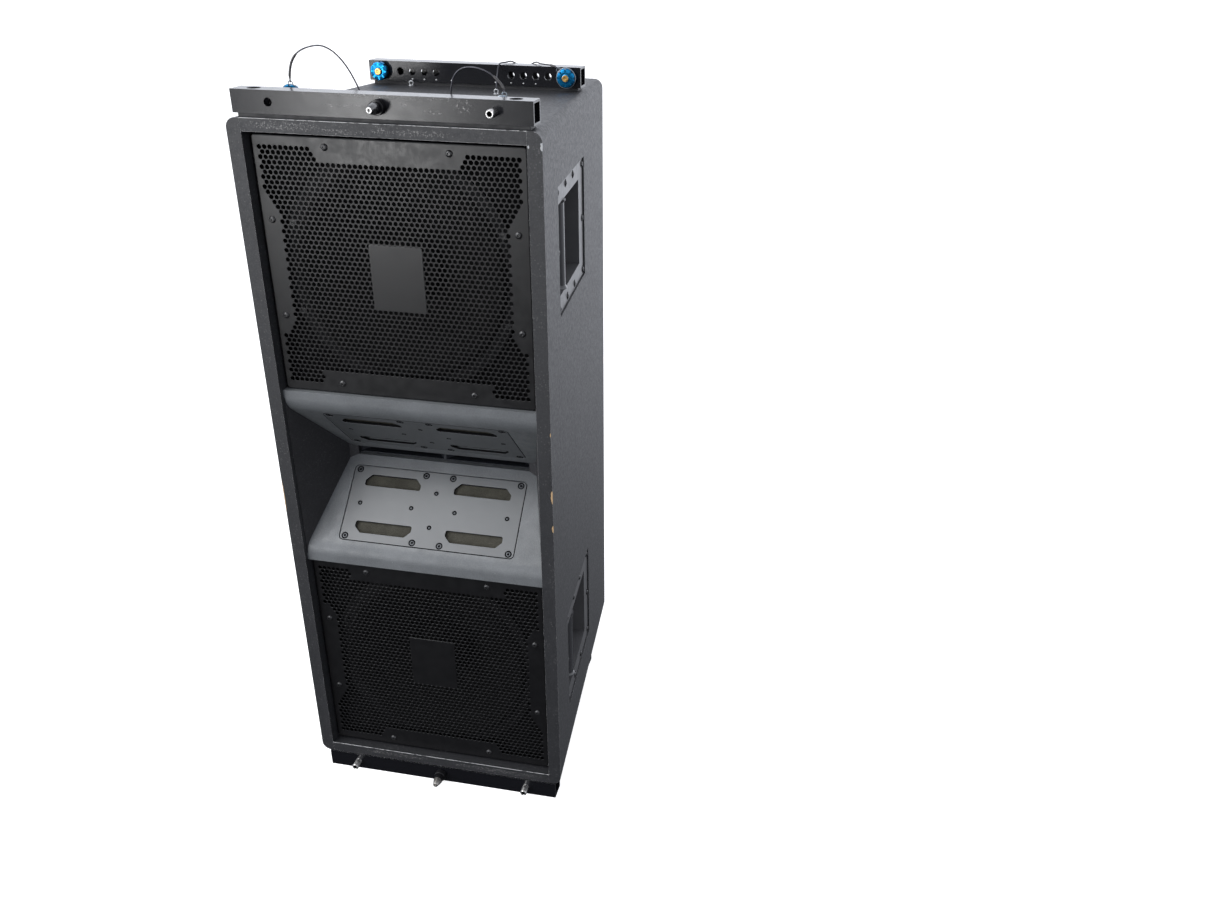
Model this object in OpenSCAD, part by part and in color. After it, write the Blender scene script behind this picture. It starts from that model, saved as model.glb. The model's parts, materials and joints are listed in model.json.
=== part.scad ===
// Full-size line array loudspeaker, standing on one end, in millimetres.
// Origin: middle of the footprint, on the floor. The grilles face -Y, +Z is up.

/* [Cabinet] */
// Width of the front, across the two side panels
cab_w = 489; // [480:1:500]
// Height of the cabinet, standing on end, without the rigging
cab_h = 1213; // [1205:1:1225]
// Depth from the front edges to the back
cab_d = 600; // [560:5:620]
// Angle by which each side panel leans in towards the back
side_angle = 5; // [4.5:0.1:5.5]
// Thickness of the side panels
side_t = 23; // [21:0.5:24]
// Thickness of the two end boards
end_t = 20; // [18:0.5:22]
// Thickness of the baffles and of the back panel
board_t = 18; // [15:1:20]
// Radius on the long outer corners
corner_r = 16; // [8:1:20]

/* [Grilles] */
// Distance of the grille face behind the front edges
grille_y = 16; // [12:1:20]
// Half width of a grille
grille_x = 217; // [210:0.5:217.5]
// Width of the flange folded back round a grille
grille_flange = 18; // [14:1:18]

/* [Horn] */
// Half height of the horn mouth, from the middle of the cabinet
mouth_h = 166; // [160:1:170]
// Half height at which the flare faces meet the plane of the front edges
flare_h = 145.5; // [140:0.5:150]
// Depth of the horn, front plane to throat
horn_d = 137; // [130:1:137]
// Thickness of a flare moulding
flare_t = 12; // [10:0.5:12]

/* [Rigging] */
// Outer size of the square tubes
tube_s = 34; // [30:0.5:38]
// Wall of the square tubes
tube_wall = 3.5; // [3:0.25:4]
// Thickness of the plates under the tubes
plate_t = 6; // [4:0.5:10]
// Length of the front tubes
front_tube_l = 464; // [455:1:475]
// Length of the rear tubes
rear_tube_l = 393; // [385:1:396]
// Distance of the rear tubes behind the front edges
rear_tube_y = 412; // [415:1:440]
// Distance of each locking pin from the middle of its tube
pin_x = 173; // [171:0.5:175]
// Diameter of the locking pins
pin_d = 12.7; // [12.5:0.1:12.8]
// Distance by which the upper left front pin stands pulled back
pin_drawn = 31; // [0:1:40]

/* [Hidden] */

$fn = 64;
cut = 1; // how far a cutting solid runs past the face it opens
mid_h = cab_h / 2;
half_w = cab_w / 2;
rig_h = tube_s + plate_t; // the tubes stand this far off each end of the cabinet
slope = tan(side_angle);
function inner_x(y) = half_w - side_t / cos(side_angle) - y * slope;

// The stud tips are the foremost points of the object
front_tube_y = 4;
stud_l = 33;
middle_y = (cab_d + front_tube_y - stud_l) / 2;

// Baffles, shelves and woofers
baffle_y = grille_y + 2 + grille_flange;
baffle_back = baffle_y + board_t;
woofer_z = 981;
woofer_r = 194.5;
shelf_t = 12;
joint_gap = 0.05; // glue line between the boards and the side panels

// Horn mouth: nose radius, and where it meets the lip and the sloping face
lip_y = 8;
nose_r = 36;
nose_z = flare_h - lip_y + nose_r * tan(22.5);
throat_h = flare_h - horn_d;
throat_lip = flare_t * (sqrt(2) - 1);
cheek_throat_x = 163;
cheek_x = 178;

// Slot plates, in the plane of the flare face: x across, s down the slope
plate_x = 163.5;
plate_s0 = 31;
plate_s1 = 173;
plate_s = (plate_s0 + plate_s1) / 2;
plate_th = 4;
plate_r = 8;
pocket_gap = 0.7; // round each slot plate
window_x = 148;
window_s = 56;
slot_x0 = 32;
slot_x1 = 138;
slot_s0 = 33.5;
slot_s1 = 55;
big_screws = [for (x = [-153, -25.5, 25.5, 153], s = [-63, 63]) [x, plate_s + s]];
small_screws = [[-139, plate_s], [-41, plate_s], [41, plate_s], [139, plate_s],
    [0, plate_s - 32], [0, plate_s + 32]];

// Mid drivers on the back of each flare
mid_x = 98;
mid_s = 111;
mid_r = 75;

// High-frequency section
guide_y0 = horn_d + flare_t;
guide_y1 = 250;
guide_h = 13;

// Handles, in the plane of a side panel: y from the front edge, z up
handle_y0 = 112;
handle_y1 = 365;
handle_z0 = 901;
handle_z1 = 1112;
pocket = 6;
cup_y0 = 123;
cup_y1 = 321;
cup_z0 = 932;
cup_z1 = 1081;
cup_depth = 75;
cup_wall = 2.5;
grip_y = 172;
grip_in = 11; // how far the grip bar's middle lies inside the panel's face
grip_d = 18;
handle_screw_d = 4.5;
handle_screws_yz = concat(
    [for (y = [123, 194, 265, 354], z = [handle_z0 + 11, handle_z1 - 11]) [y, z]],
    [[cup_y0 - 5.5, mid_z_handle()], [354, mid_z_handle()]]);
function mid_z_handle() = (handle_z0 + handle_z1) / 2;

grille_z0 = mid_h + mouth_h + 1;
grille_z1 = cab_h - end_t - 5;
grille_screws_xz = [for (s = [-1, 1], p = [[98, 1173], [199, 1058.5], [199, 903], [114.3, 791]])
    [s * p[0], p[1]]];

// Locking pins: the shoulder rests on the tube, the shank points away from the head
shank_l = 53;
head_d = 31.5;
head_t = 14.7;
button_d = 11.5;
button_out = 3;
button_l = 9;
bore_gap = 0.05; // radial clearance of each running fit
shoulder_gap = 0.3;
tube_mid = plate_t + tube_s / 2; // height of the pin axes off the cabinet

// Hinge links inside the right-hand end of each tube
link_gap = 0.2;
link_l = 172;
link_recess = 12;
link_travel = 109;
angle_holes = [70, 92.5, 115, 137.5];

// Bolts down through the tubes and plates, clear of the links and of the open left ends
bolt_d = 8;
bolt_l = 26;
front_bolt_xs = [-140, -90, -35, 30];
rear_bolt_xs = [-150, -100, -35, -5];
front_bolt_y = front_tube_y + tube_s / 2;
rear_bolt_y = rear_tube_y + tube_s / 2;
bolt_places = concat([for (x = front_bolt_xs) [x, front_bolt_y]],
    [for (x = rear_bolt_xs) [x, rear_bolt_y]]);
edge_bolt_xs = [-118, 0, 152]; // on the lower plate only
plate_back = 4; // how far each plate's front stands behind its tube's

input_x = 110;
input_z = 70;
socket_x = 45;

// Routes of the wire lanyards: x, y from the front edges, z from the cabinet's lower end
wire_d = 2.4;
route_front_left = [[-172, 76, 1255], [-171, 76, 1269], [-166, 77, 1285], [-155, 77, 1298],
    [-138, 77, 1306], [-118, 77, 1309], [-102, 77, 1304], [-88, 77, 1293], [-75, 76, 1277],
    [-64, 75, 1257], [-55, 75, 1236], [-48, 75, 1223]];
route_front_right = [[176, 48, 1255], [173, 49, 1265], [163, 50, 1276], [148, 51, 1285],
    [131, 53, 1289], [115, 55, 1288], [103, 57, 1282], [95, 58, 1271], [91, 59, 1255],
    [89, 60, 1237], [87, 60, 1223]];
route_rear_right = [[159, 402, 1250], [154, 403, 1254], [144, 408, 1256], [131, 417, 1256],
    [119, 430, 1255.5], [110, 443, 1256], [102, 450, 1254.5], [92, 452, 1250], [80, 452, 1250],
    [69, 450, 1252], [61, 444, 1256], [55, 430, 1255.5], [51, 414, 1255.5], [50, 403, 1250],
    [53, 388, 1242], [58, 368, 1235], [63, 350, 1228], [66, 339, 1223]];
eye_z = 4.8; // height of each eye's middle off the cabinet
eye_places = [[-48, 75], [87, 60], [66, 339], [-114, 402]];

// ---------- places ----------

// Cabinet coordinates: y from the front edges, z from the cabinet's lower end
module cab() { translate([0, -middle_y, rig_h]) children(); }

// The same thing at the other end of the cabinet
module flip_z() { translate([0, 0, cab_h]) mirror([0, 0, 1]) children(); }

module both_ends() {
    children();
    flip_z() children();
}

// Onto the outer face of a side panel: x outward, y back along the panel
module on_side(s) {
    mirror([s < 0 ? 1 : 0, 0, 0]) translate([half_w, 0, 0]) rotate([0, 0, side_angle]) children();
}

// Onto the sloping face of the upper flare: y down the slope, z into the flare
module on_flare() { translate([0, 0, mid_h + flare_h]) rotate([-45, 0, 0]) children(); }

// Turns +Z to +Y
module along_y() { rotate([-90, 0, 0]) children(); }

// Box given by two corners
module block(lo, hi) { translate(lo) cube(hi - lo); }

// ---------- cabinet ----------

// Plan shape between the side panels' inner faces
module plan_inside(y0, y1, gap = 0) {
    polygon([[-inner_x(y0) + gap, y0], [inner_x(y0) - gap, y0],
        [inner_x(y1) - gap, y1], [-inner_x(y1) + gap, y1]]);
}

// Section of a side panel: its outer edges are rounded at both ends
module panel_profile() {
    translate([-side_t, 0]) square([side_t - corner_r, cab_h]);
    translate([-corner_r, corner_r]) square([corner_r, cab_h - 2 * corner_r]);
    intersection() {
        for (z = [corner_r, cab_h - corner_r]) translate([-corner_r, z]) circle(corner_r);
        translate([-corner_r, 0]) square([corner_r, cab_h]);
    }
}

module side_panel(s) {
    difference() {
        on_side(s) translate([0, cab_d + 50, 0]) rotate([90, 0, 0])
            linear_extrude(cab_d + 100) panel_profile();
        block([-cab_w, -100, -cut], [cab_w, 0, cab_h + cut]);
        block([-cab_w, cab_d, -cut], [cab_w, cab_d + 100, cab_h + cut]);
        both_ends() on_side(s) handle_cutouts();
    }
}

module handle_cutouts() {
    block([-pocket, handle_y0, handle_z0], [cut, handle_y1, handle_z1]);
    block([-side_t - cut, cup_y0 - cup_wall - 0.5, cup_z0 - cup_wall - 0.5],
        [0, cup_y1 + cup_wall + 0.5, cup_z1 + cup_wall + 0.5]);
    for (p = handle_screws_yz) translate([-side_t + 2, p[0], p[1]])
        rotate([0, 90, 0]) cylinder(d = handle_screw_d + 0.2, h = side_t);
}

module side_panel_left() { color("#26272a") cab() side_panel(-1); }
module side_panel_right() { color("#2c2d30") cab() side_panel(1); }

module end_board() {
    difference() {
        linear_extrude(end_t) plan_inside(0, cab_d, joint_gap);
        for (p = bolt_places) translate([p[0], p[1], -cut])
            cylinder(d = bolt_d + 0.2, h = end_t - 2);
    }
}

module end_board_bottom() { color("#232427") cab() end_board(); }
module end_board_top() { color("#232427") cab() flip_z() end_board(); }

module back_panel() {
    color("#222326") cab() difference() {
        translate([0, 0, end_t]) linear_extrude(cab_h - 2 * end_t)
            plan_inside(cab_d - board_t, cab_d, joint_gap);
        block([-input_x, cab_d - pocket, mid_h - input_z], [input_x, cab_d + cut, mid_h + input_z]);
        block([-input_x + 12, cab_d - board_t - cut, mid_h - input_z + 12],
            [input_x - 12, cab_d, mid_h + input_z - 12]);
    }
}

module woofer_baffle() {
    difference() {
        translate([0, 0, mid_h + mouth_h]) linear_extrude(cab_h - end_t - mid_h - mouth_h)
            plan_inside(baffle_y, baffle_back, joint_gap);
        translate([0, baffle_y - cut, woofer_z]) along_y() {
            cylinder(r = woofer_r - 16, h = board_t + 2 * cut);
            woofer_bolt_ring(5.2, board_t - 1);
        }
        for (p = grille_screws_xz) translate([p[0], baffle_y - cut, p[1]])
            along_y() cylinder(d = 5.2, h = board_t - 1);
    }
}

module woofer_bolt_ring(d, h) {
    for (a = [22.5:45:360]) rotate(a) translate([woofer_r - 8, 0, 0]) cylinder(d = d, h = h);
}

module woofer_baffles() { color("#1b1b1d") cab() both_ends() woofer_baffle(); }

module horn_shelves() {
    color("#b08d5b") cab() both_ends() translate([0, 0, mid_h + mouth_h])
        linear_extrude(shelf_t) plan_inside(baffle_back, cab_d - board_t, joint_gap);
}

// ---------- horn ----------

// Section of the upper flare, as y from the front edges and height above the middle
function nose_arc(r) = [for (a = [180:7.5:225]) [lip_y + nose_r + r * cos(a), nose_z + r * sin(a)]];

module flare_section() {
    polygon(concat([[lip_y, mouth_h]], nose_arc(nose_r), [[horn_d, throat_h],
        [horn_d + flare_t, throat_h], [horn_d + flare_t, throat_h + throat_lip]],
        [for (p = [6:-1:0]) nose_arc(nose_r - flare_t)[p]], [[lip_y + flare_t, mouth_h]]));
}

// Everything above the flare face, for cutting the cheeks to fit
module above_flare_section() {
    polygon(concat([[lip_y, mouth_h + 50]], nose_arc(nose_r), [[horn_d, throat_h],
        [horn_d + 50, throat_h], [horn_d + 50, mouth_h + 50]]));
}

module across(section_w) {
    translate([-section_w / 2, 0, mid_h]) rotate([90, 0, 90]) linear_extrude(section_w) children();
}

module horn_flare() {
    difference() {
        intersection() {
            across(cab_w) flare_section();
            translate([0, 0, mid_h]) linear_extrude(mouth_h) plan_inside(0, guide_y0);
        }
        on_flare() {
            translate([0, 0, -cut]) linear_extrude(plate_th + cut) plate_outline(pocket_gap);
            block([-window_x, plate_s - window_s, 0], [window_x, plate_s + window_s, 30]);
            for (p = big_screws) translate([p[0], p[1], 0]) cylinder(d = 5.2, h = flare_t - 1);
        }
    }
}

module horn_flare_upper() { color("#5a6066") cab() horn_flare(); }
module horn_flare_lower() { color("#6b7177") cab() flip_z() horn_flare(); }

module horn_cheeks() {
    color("#202124") cab() for (s = [0, 1]) mirror([s, 0, 0]) difference() {
        translate([0, 0, mid_h - mouth_h]) linear_extrude(2 * mouth_h) polygon([
            [inner_x(lip_y), lip_y], [219, lip_y], [cheek_x, horn_d - 6],
            [cheek_throat_x, horn_d], [cheek_throat_x, guide_y0], [inner_x(guide_y0), guide_y0]]);
        both_ends() across(cab_w + 2) above_flare_section();
    }
}

// Outline of a slot plate, or of its pocket with a gap all round
module plate_outline(gap = 0) {
    x = plate_x + gap;
    s0 = plate_s0 - gap;
    s1 = plate_s1 + gap;
    r = plate_r + gap;
    translate([-x, s0 + r]) square([2 * x, s1 - s0 - 2 * r]);
    translate([r - x, s0]) square([2 * (x - r), s1 - s0]);
    for (a = [r - x, x - r], b = [s0 + r, s1 - r]) translate([a, b]) circle(r);
}

module slot_outline() {
    c = 11;
    polygon([[slot_x0, slot_s0], [slot_x1, slot_s0], [slot_x1, slot_s1 - c],
        [slot_x1 - c, slot_s1], [slot_x0 + c, slot_s1], [slot_x0, slot_s1 - c]]);
}

module slot_plate() {
    on_flare() difference() {
        linear_extrude(plate_th) plate_outline();
        translate([0, plate_s, -cut]) for (a = [0, 1], b = [0, 1])
            mirror([a, 0, 0]) mirror([0, b, 0]) linear_extrude(plate_th + 2 * cut) slot_outline();
        for (p = big_screws) translate([p[0], p[1], -cut]) {
            cylinder(d = 5.4, h = plate_th + 2 * cut);
            cylinder(d = 11.4, h = 2.4 + cut);
        }
        for (p = small_screws) translate([p[0], p[1], -cut]) {
            cylinder(d = 3.4, h = plate_th + 2 * cut);
            cylinder(d = 7.4, h = 2 + cut);
        }
    }
}

module slot_plate_upper() { color("#54595f") cab() slot_plate(); }
module slot_plate_lower() { color("#767c82") cab() flip_z() slot_plate(); }

module slot_foams() {
    color("#4a4738") cab() both_ends() on_flare()
        block([-window_x + 1, plate_s - window_s + 1, plate_th],
            [window_x - 1, plate_s + window_s - 1, flare_t - 2]);
}

module slot_plate_screws() {
    color("#17181a") cab() both_ends() on_flare() {
        for (p = big_screws) translate([p[0], p[1], 0.2]) {
            cylinder(d = 11, h = 2.2);
            cylinder(d = 5, h = flare_t - 2);
        }
        for (p = small_screws) translate([p[0], p[1], 0.2]) {
            cylinder(d = 7, h = 1.8);
            cylinder(d = 3, h = plate_th - 0.2);
        }
    }
}

// ---------- grilles ----------

module grille() {
    difference() {
        block([-grille_x, grille_y, grille_z0], [grille_x, baffle_y, grille_z1]);
        block([-grille_x + 2, grille_y + 2, grille_z0 + 2],
            [grille_x - 2, baffle_y + cut, grille_z1 - 2]);
        for (p = grille_screws_xz) translate([p[0], grille_y - cut, p[1]])
            along_y() cylinder(d = 5.6, h = 5);
    }
}

module grille_upper() { color("#1d1e20") cab() grille(); }
module grille_lower() { color("#1d1e20") cab() flip_z() grille(); }

module grille_screws() {
    color("#202124") cab() both_ends() for (p = grille_screws_xz)
        translate([p[0], grille_y - 3, p[1]]) along_y() {
            cylinder(d = 11, h = 3);
            cylinder(d = 5, h = baffle_y + board_t - grille_y - 1);
        }
}

// ---------- drivers ----------

module woofer_place() {
    translate([0, baffle_y, woofer_z]) along_y() children();
}

// Places for the four mid drivers behind the flares, z pointing into the chambers
module mid_place() {
    for (x = [-mid_x, mid_x]) on_flare() translate([x, mid_s, flare_t]) children();
}

module woofer_basket() {
    difference() {
        rotate_extrude() polygon([[160, -6], [woofer_r, -6], [woofer_r, 0], [176, 0],
            [172, 30], [110, 96], [60, 100], [60, 96], [104, 92], [164, 27], [166, 2], [160, 0]]);
        translate([0, 0, -8]) woofer_bolt_ring(5.4, 12);
    }
}

module mid_basket() {
    rotate_extrude() polygon([[60, 0], [mid_r, 0], [mid_r, 4], [64, 4], [40, 38], [20, 40],
        [20, 37], [37, 35], [60, 5]]);
}

module driver_baskets() {
    color("#2a2a2c") cab() both_ends() {
        woofer_place() woofer_basket();
        mid_place() mid_basket();
    }
}

module driver_cones() {
    color("#151516") cab() both_ends() {
        woofer_place() rotate_extrude() polygon([[0, 30], [45, 38], [50, 52], [150, -2],
            [158, -8], [168, -12], [176, -6], [159, -6], [152, 1], [50, 56], [0, 56]]);
        mid_place() rotate_extrude() polygon([[0, 18], [14, 22], [54, 0], [60, 1], [60, 3],
            [54, 3], [16, 28], [0, 28]]);
    }
}

module driver_magnets() {
    color("#5b5d60") cab() both_ends() {
        woofer_place() translate([0, 0, 100]) cylinder(r = 90, h = 42);
        mid_place() translate([0, 0, 40]) cylinder(r = 38, h = 20);
    }
}

module driver_screws() {
    color("#1f2022") cab() both_ends() woofer_place() {
        translate([0, 0, -10]) woofer_bolt_ring(10, 4);
        translate([0, 0, -6]) woofer_bolt_ring(5, 18);
    }
}

module mid_chamber() {
    intersection() {
        difference() {
            block([-200, 28, throat_h + throat_lip], [200, 240, mouth_h]);
            block([-191, 33, throat_h + throat_lip + 6], [191, 231, mouth_h - 9]);
        }
        translate([-200, 0, 0]) rotate([90, 0, 90]) linear_extrude(400)
            polygon([[guide_y0, throat_h + throat_lip], [300, throat_h + throat_lip],
                [300, 200], [guide_y0 + throat_h + throat_lip - 200, 200]]);
    }
}

module mid_chambers() { color("#b08d5b") cab() both_ends() translate([0, 0, mid_h]) mid_chamber(); }

module hf_waveguide() {
    color("#23262c") cab() translate([0, 0, mid_h]) difference() {
        block([-cheek_throat_x - 7, guide_y0, -guide_h], [cheek_throat_x + 7, guide_y1, guide_h]);
        for (s = [0, 1]) mirror([s, 0, 0]) {
            translate([0, 0, -7]) linear_extrude(14) polygon([[2, guide_y0 - cut],
                [cheek_throat_x, guide_y0 - cut], [cheek_throat_x, guide_y0],
                [94, guide_y1 - 20], [70, guide_y1 - 20], [2, guide_y0]]);
            translate([82, guide_y1 - 30, 0]) along_y() cylinder(d = 24, h = 31);
        }
    }
}

module hf_drivers() {
    color("#3a3b3e") cab() translate([0, guide_y1, mid_h]) for (x = [-82, 82])
        translate([x, 0, 0]) along_y() {
            cylinder(d = 110, h = 50);
            translate([0, 0, 50]) cylinder(d = 76, h = 22);
        }
}

// ---------- handles ----------

module handle_cup() {
    difference() {
        union() {
            block([-pocket, handle_y0 + 1, handle_z0 + 1], [3 - pocket, handle_y1 - 1, handle_z1 - 1]);
            block([-cup_depth - cup_wall, cup_y0 - cup_wall, cup_z0 - cup_wall],
                [-pocket, cup_y1 + cup_wall, cup_z1 + cup_wall]);
        }
        block([-cup_depth, cup_y0, cup_z0], [0, cup_y1, cup_z1]);
        for (p = handle_screws_yz) translate([-pocket - cut, p[0], p[1]])
            rotate([0, 90, 0]) cylinder(d = handle_screw_d + 0.4, h = 3 + 2 * cut);
    }
}

module each_handle() { both_ends() for (s = [-1, 1]) on_side(s) children(); }

module handle_cups() { color("#3b3d40") cab() each_handle() handle_cup(); }

module handle_grips() {
    color("#2a2b2e") cab() each_handle() translate([-grip_in, grip_y, cup_z0])
        cylinder(d = grip_d, h = cup_z1 - cup_z0);
}

module handle_screws() {
    color("#3c3e42") cab() each_handle() for (p = handle_screws_yz)
        translate([3 - pocket, p[0], p[1]]) rotate([0, 90, 0]) {
            cylinder(d = 9, h = 2.5);
            translate([0, 0, -16]) cylinder(d = handle_screw_d, h = 16);
        }
}

// ---------- input panel ----------

module input_panel() {
    color("#2b2c2e") cab() difference() {
        block([-input_x + 1, cab_d - pocket, mid_h - input_z + 1],
            [input_x - 1, cab_d - pocket + 2, mid_h + input_z - 1]);
        for (x = [-socket_x, socket_x]) translate([x, cab_d - pocket - cut, mid_h])
            along_y() cylinder(d = 32.4, h = 5);
    }
}

module input_connectors() {
    color("#101012") cab() for (x = [-socket_x, socket_x])
        translate([x, cab_d - pocket + 2, mid_h]) difference() {
            union() {
                block([-21, 0, -21], [21, 3, 21]);
                translate([0, -36, 0]) along_y() cylinder(d = 32, h = 36);
            }
            translate([0, -30, 0]) along_y() cylinder(d = 26, h = 40);
        }
}

// ---------- rigging ----------

// A tube lying along x on the plate at the upper end, with its holes
module tube(y0, len, bolts) {
    difference() {
        translate([-len / 2, y0, cab_h + plate_t]) difference() {
            cube([len, tube_s, tube_s]);
            translate([-cut, tube_wall, tube_wall])
                cube([len + 2 * cut, tube_s - 2 * tube_wall, tube_s - 2 * tube_wall]);
        }
        for (x = [-pin_x, pin_x]) translate([x, y0 - cut, cab_h + tube_mid])
            along_y() cylinder(d = pin_d + 2 * bore_gap, h = tube_s + 2 * cut);
        for (x = bolts) translate([x, y0 + tube_s / 2, cab_h])
            cylinder(d = bolt_d + 0.4, h = plate_t + tube_wall + cut);
    }
}

module front_tube() {
    difference() {
        tube(front_tube_y, front_tube_l, front_bolt_xs);
        for (x = [-202, 202]) translate([x, front_bolt_y, cab_h + plate_t + tube_s - tube_wall - cut])
            cylinder(d = 20, h = tube_wall + 2 * cut);
        translate([0, front_tube_y - cut, cab_h + tube_mid])
            along_y() cylinder(d = 12.2, h = tube_wall + 2 * cut);
    }
}

module rear_tube() {
    difference() {
        tube(rear_tube_y, rear_tube_l, rear_bolt_xs);
        for (s = [-1, 1], x = angle_holes) translate([s * x, rear_tube_y - cut, cab_h + tube_mid])
            along_y() cylinder(d = 13, h = tube_s + 2 * cut);
    }
}

module tube_front_top() { color("#1c1c1f") cab() front_tube(); }
module tube_front_bottom() { color("#1c1c1f") cab() flip_z() front_tube(); }
module tube_rear_top() { color("#1c1c1f") cab() rear_tube(); }
module tube_rear_bottom() { color("#1c1c1f") cab() flip_z() rear_tube(); }

module tube_plate(y0, len, bolts) {
    difference() {
        block([-len / 2 + 6, y0 + plate_back, cab_h + joint_gap],
            [len / 2 - 6, y0 + tube_s - plate_back, cab_h + plate_t]);
        for (x = bolts) translate([x, y0 + tube_s / 2, cab_h - cut])
            cylinder(d = bolt_d + 0.4, h = plate_t + 2 * cut);
    }
}

module tube_plates() {
    color("#18181a") cab() both_ends() {
        tube_plate(front_tube_y, front_tube_l, front_bolt_xs);
        tube_plate(rear_tube_y, rear_tube_l, rear_bolt_xs);
    }
}

module tube_bolt() {
    cylinder(d = 13, h = 4);
    translate([0, 0, -bolt_l]) cylinder(d = bolt_d, h = bolt_l);
}

module tube_bolts() {
    color("#8d9094") cab() both_ends() {
        for (p = bolt_places) translate([p[0], p[1], cab_h + plate_t + tube_wall]) tube_bolt();
    }
    color("#8d9094") cab() flip_z() for (x = edge_bolt_xs)
        translate([x, front_tube_y + plate_back - 3, cab_h + plate_t / 2 + 0.5])
            along_y() cylinder(d = 5, h = 3);
}

// Guide stud on each front tube: collar, groove and tapered nose
module dolly_stud() {
    translate([0, front_tube_y, cab_h + tube_mid]) rotate([90, 0, 0]) {
        translate([0, 0, -9]) cylinder(d = 12, h = 9 + 1);
        cylinder(d = 22, h = 10);
        translate([0, 0, 10]) cylinder(d = 13, h = 3);
        translate([0, 0, 13]) cylinder(d = 17, h = 7);
        translate([0, 0, 20]) cylinder(d1 = 17, d2 = 9, h = stud_l - 20);
    }
}

module dolly_studs() { color("#2a2a2c") cab() both_ends() dolly_stud(); }

module lanyard_eyes() {
    color("#9a9da1") cab() for (p = eye_places) translate([p[0], p[1], cab_h]) {
        cylinder(d = 10, h = 2);
        translate([0, 0, eye_z]) rotate([90, 0, 0]) rotate_extrude($fn = 24)
            translate([3.6, 0]) circle(d = 2, $fn = 16);
    }
}

// ---------- lanyards ----------

function unit(v) = v / norm(v);

// Catmull-Rom point at t of the span between the second and third of four points
function curve_at(a, b, c, d, t) = 0.5 * (2 * b + (c - a) * t + (2 * a - 5 * b + 4 * c - d) * t * t
    + (3 * b - a - 3 * c + d) * t * t * t);
function clamp_at(p, i) = p[max(0, min(len(p) - 1, i))];
function smooth(p, n) = concat([for (i = [0:len(p) - 2], k = [0:n - 1])
    curve_at(clamp_at(p, i - 1), p[i], p[i + 1], clamp_at(p, i + 2), k / n)], [p[len(p) - 1]]);

// Tube of 8 sides swept along the points of a path
module wire(path) {
    n = len(path);
    rings = [for (i = [0:n - 1])
        let (t = unit(clamp_at(path, i + 1) - clamp_at(path, i - 1)),
            u = unit(cross(t, abs(t[1]) < 0.8 ? [0, 1, 0] : [1, 0, 0])),
            v = cross(t, u))
        for (k = [0:7]) path[i] + wire_d / 2 * (u * cos(45 * k) + v * sin(45 * k))];
    polyhedron(points = rings, faces = concat(
        [[for (k = [0:7]) k]],
        [for (i = [0:n - 2], k = [0:7])
            [i * 8 + k, (i + 1) * 8 + k, (i + 1) * 8 + (k + 1) % 8, i * 8 + (k + 1) % 8]],
        [[for (k = [7:-1:0]) (n - 1) * 8 + k]]));
}

module lanyard_front_left() { color("#3c3f43") cab() wire(smooth(route_front_left, 2)); }
module lanyard_front_right() { color("#3c3f43") cab() wire(smooth(route_front_right, 2)); }
module lanyard_rear_right() { color("#3c3f43") cab() wire(smooth(route_rear_right, 2)); }

// ---------- hinge links ----------

// The slot lets the link slide out while its pin stays in
module link(y0, tube_l) {
    s = tube_s - 2 * tube_wall - 2 * link_gap;
    x1 = tube_l / 2 - link_recess;
    difference() {
        translate([x1 - link_l, y0 + tube_wall + link_gap, cab_h + plate_t + tube_wall + link_gap])
            cube([link_l, s, s]);
        translate([0, y0, cab_h + tube_mid]) {
            for (x = [pin_x - link_travel, pin_x]) translate([x, 0, 0])
                along_y() cylinder(d = pin_d + 0.4, h = tube_s);
            translate([pin_x - link_travel, 0, -pin_d / 2 - 0.2])
                cube([link_travel, tube_s, pin_d + 0.4]);
        }
        if (x1 > pin_x + 30) translate([x1 - 14, y0, cab_h + tube_mid])
            along_y() cylinder(d = 13, h = tube_s);
    }
}

module link_front_top() { color("#4b4d50") cab() link(front_tube_y, front_tube_l); }
module link_front_bottom() { color("#4b4d50") cab() flip_z() link(front_tube_y, front_tube_l); }
module link_rear_top() { color("#4b4d50") cab() link(rear_tube_y, rear_tube_l); }
module link_rear_bottom() { color("#4b4d50") cab() flip_z() link(rear_tube_y, rear_tube_l); }

// ---------- locking pins ----------

// Front pins go in from behind their tube, rear pins from in front of theirs
module pin_place(side, front, drawn = 0) {
    translate([side * pin_x, front ? front_tube_y + tube_s + shoulder_gap + drawn
        : rear_tube_y - shoulder_gap, cab_h + tube_mid])
        mirror([0, front ? 0 : 1, 0]) along_y() children();
}

// Shank with a hollow tip, grooved head and the bore of its button
module pin() {
    difference() {
        union() {
            translate([0, 0, -shank_l]) cylinder(d = pin_d, h = shank_l);
            cylinder(d = 22, h = 4);
            translate([0, 0, 4]) cylinder(d = head_d, h = head_t - 4);
        }
        translate([0, 0, head_t - button_l - 3.5]) cylinder(d = button_d + 2 * bore_gap, h = 20);
        translate([0, 0, -shank_l - cut]) cylinder(d = 6, h = 14);
        for (a = [0:45:315]) rotate(a) translate([head_d / 2 + 1.6, 0, 3])
            cylinder(d = 6, h = head_t);
    }
}

module button() {
    translate([0, 0, head_t - button_l]) difference() {
        cylinder(d = button_d, h = button_l + button_out);
        translate([0, 0, button_l + button_out - 1.5]) cylinder(d = 4, h = 3);
    }
}

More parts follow.
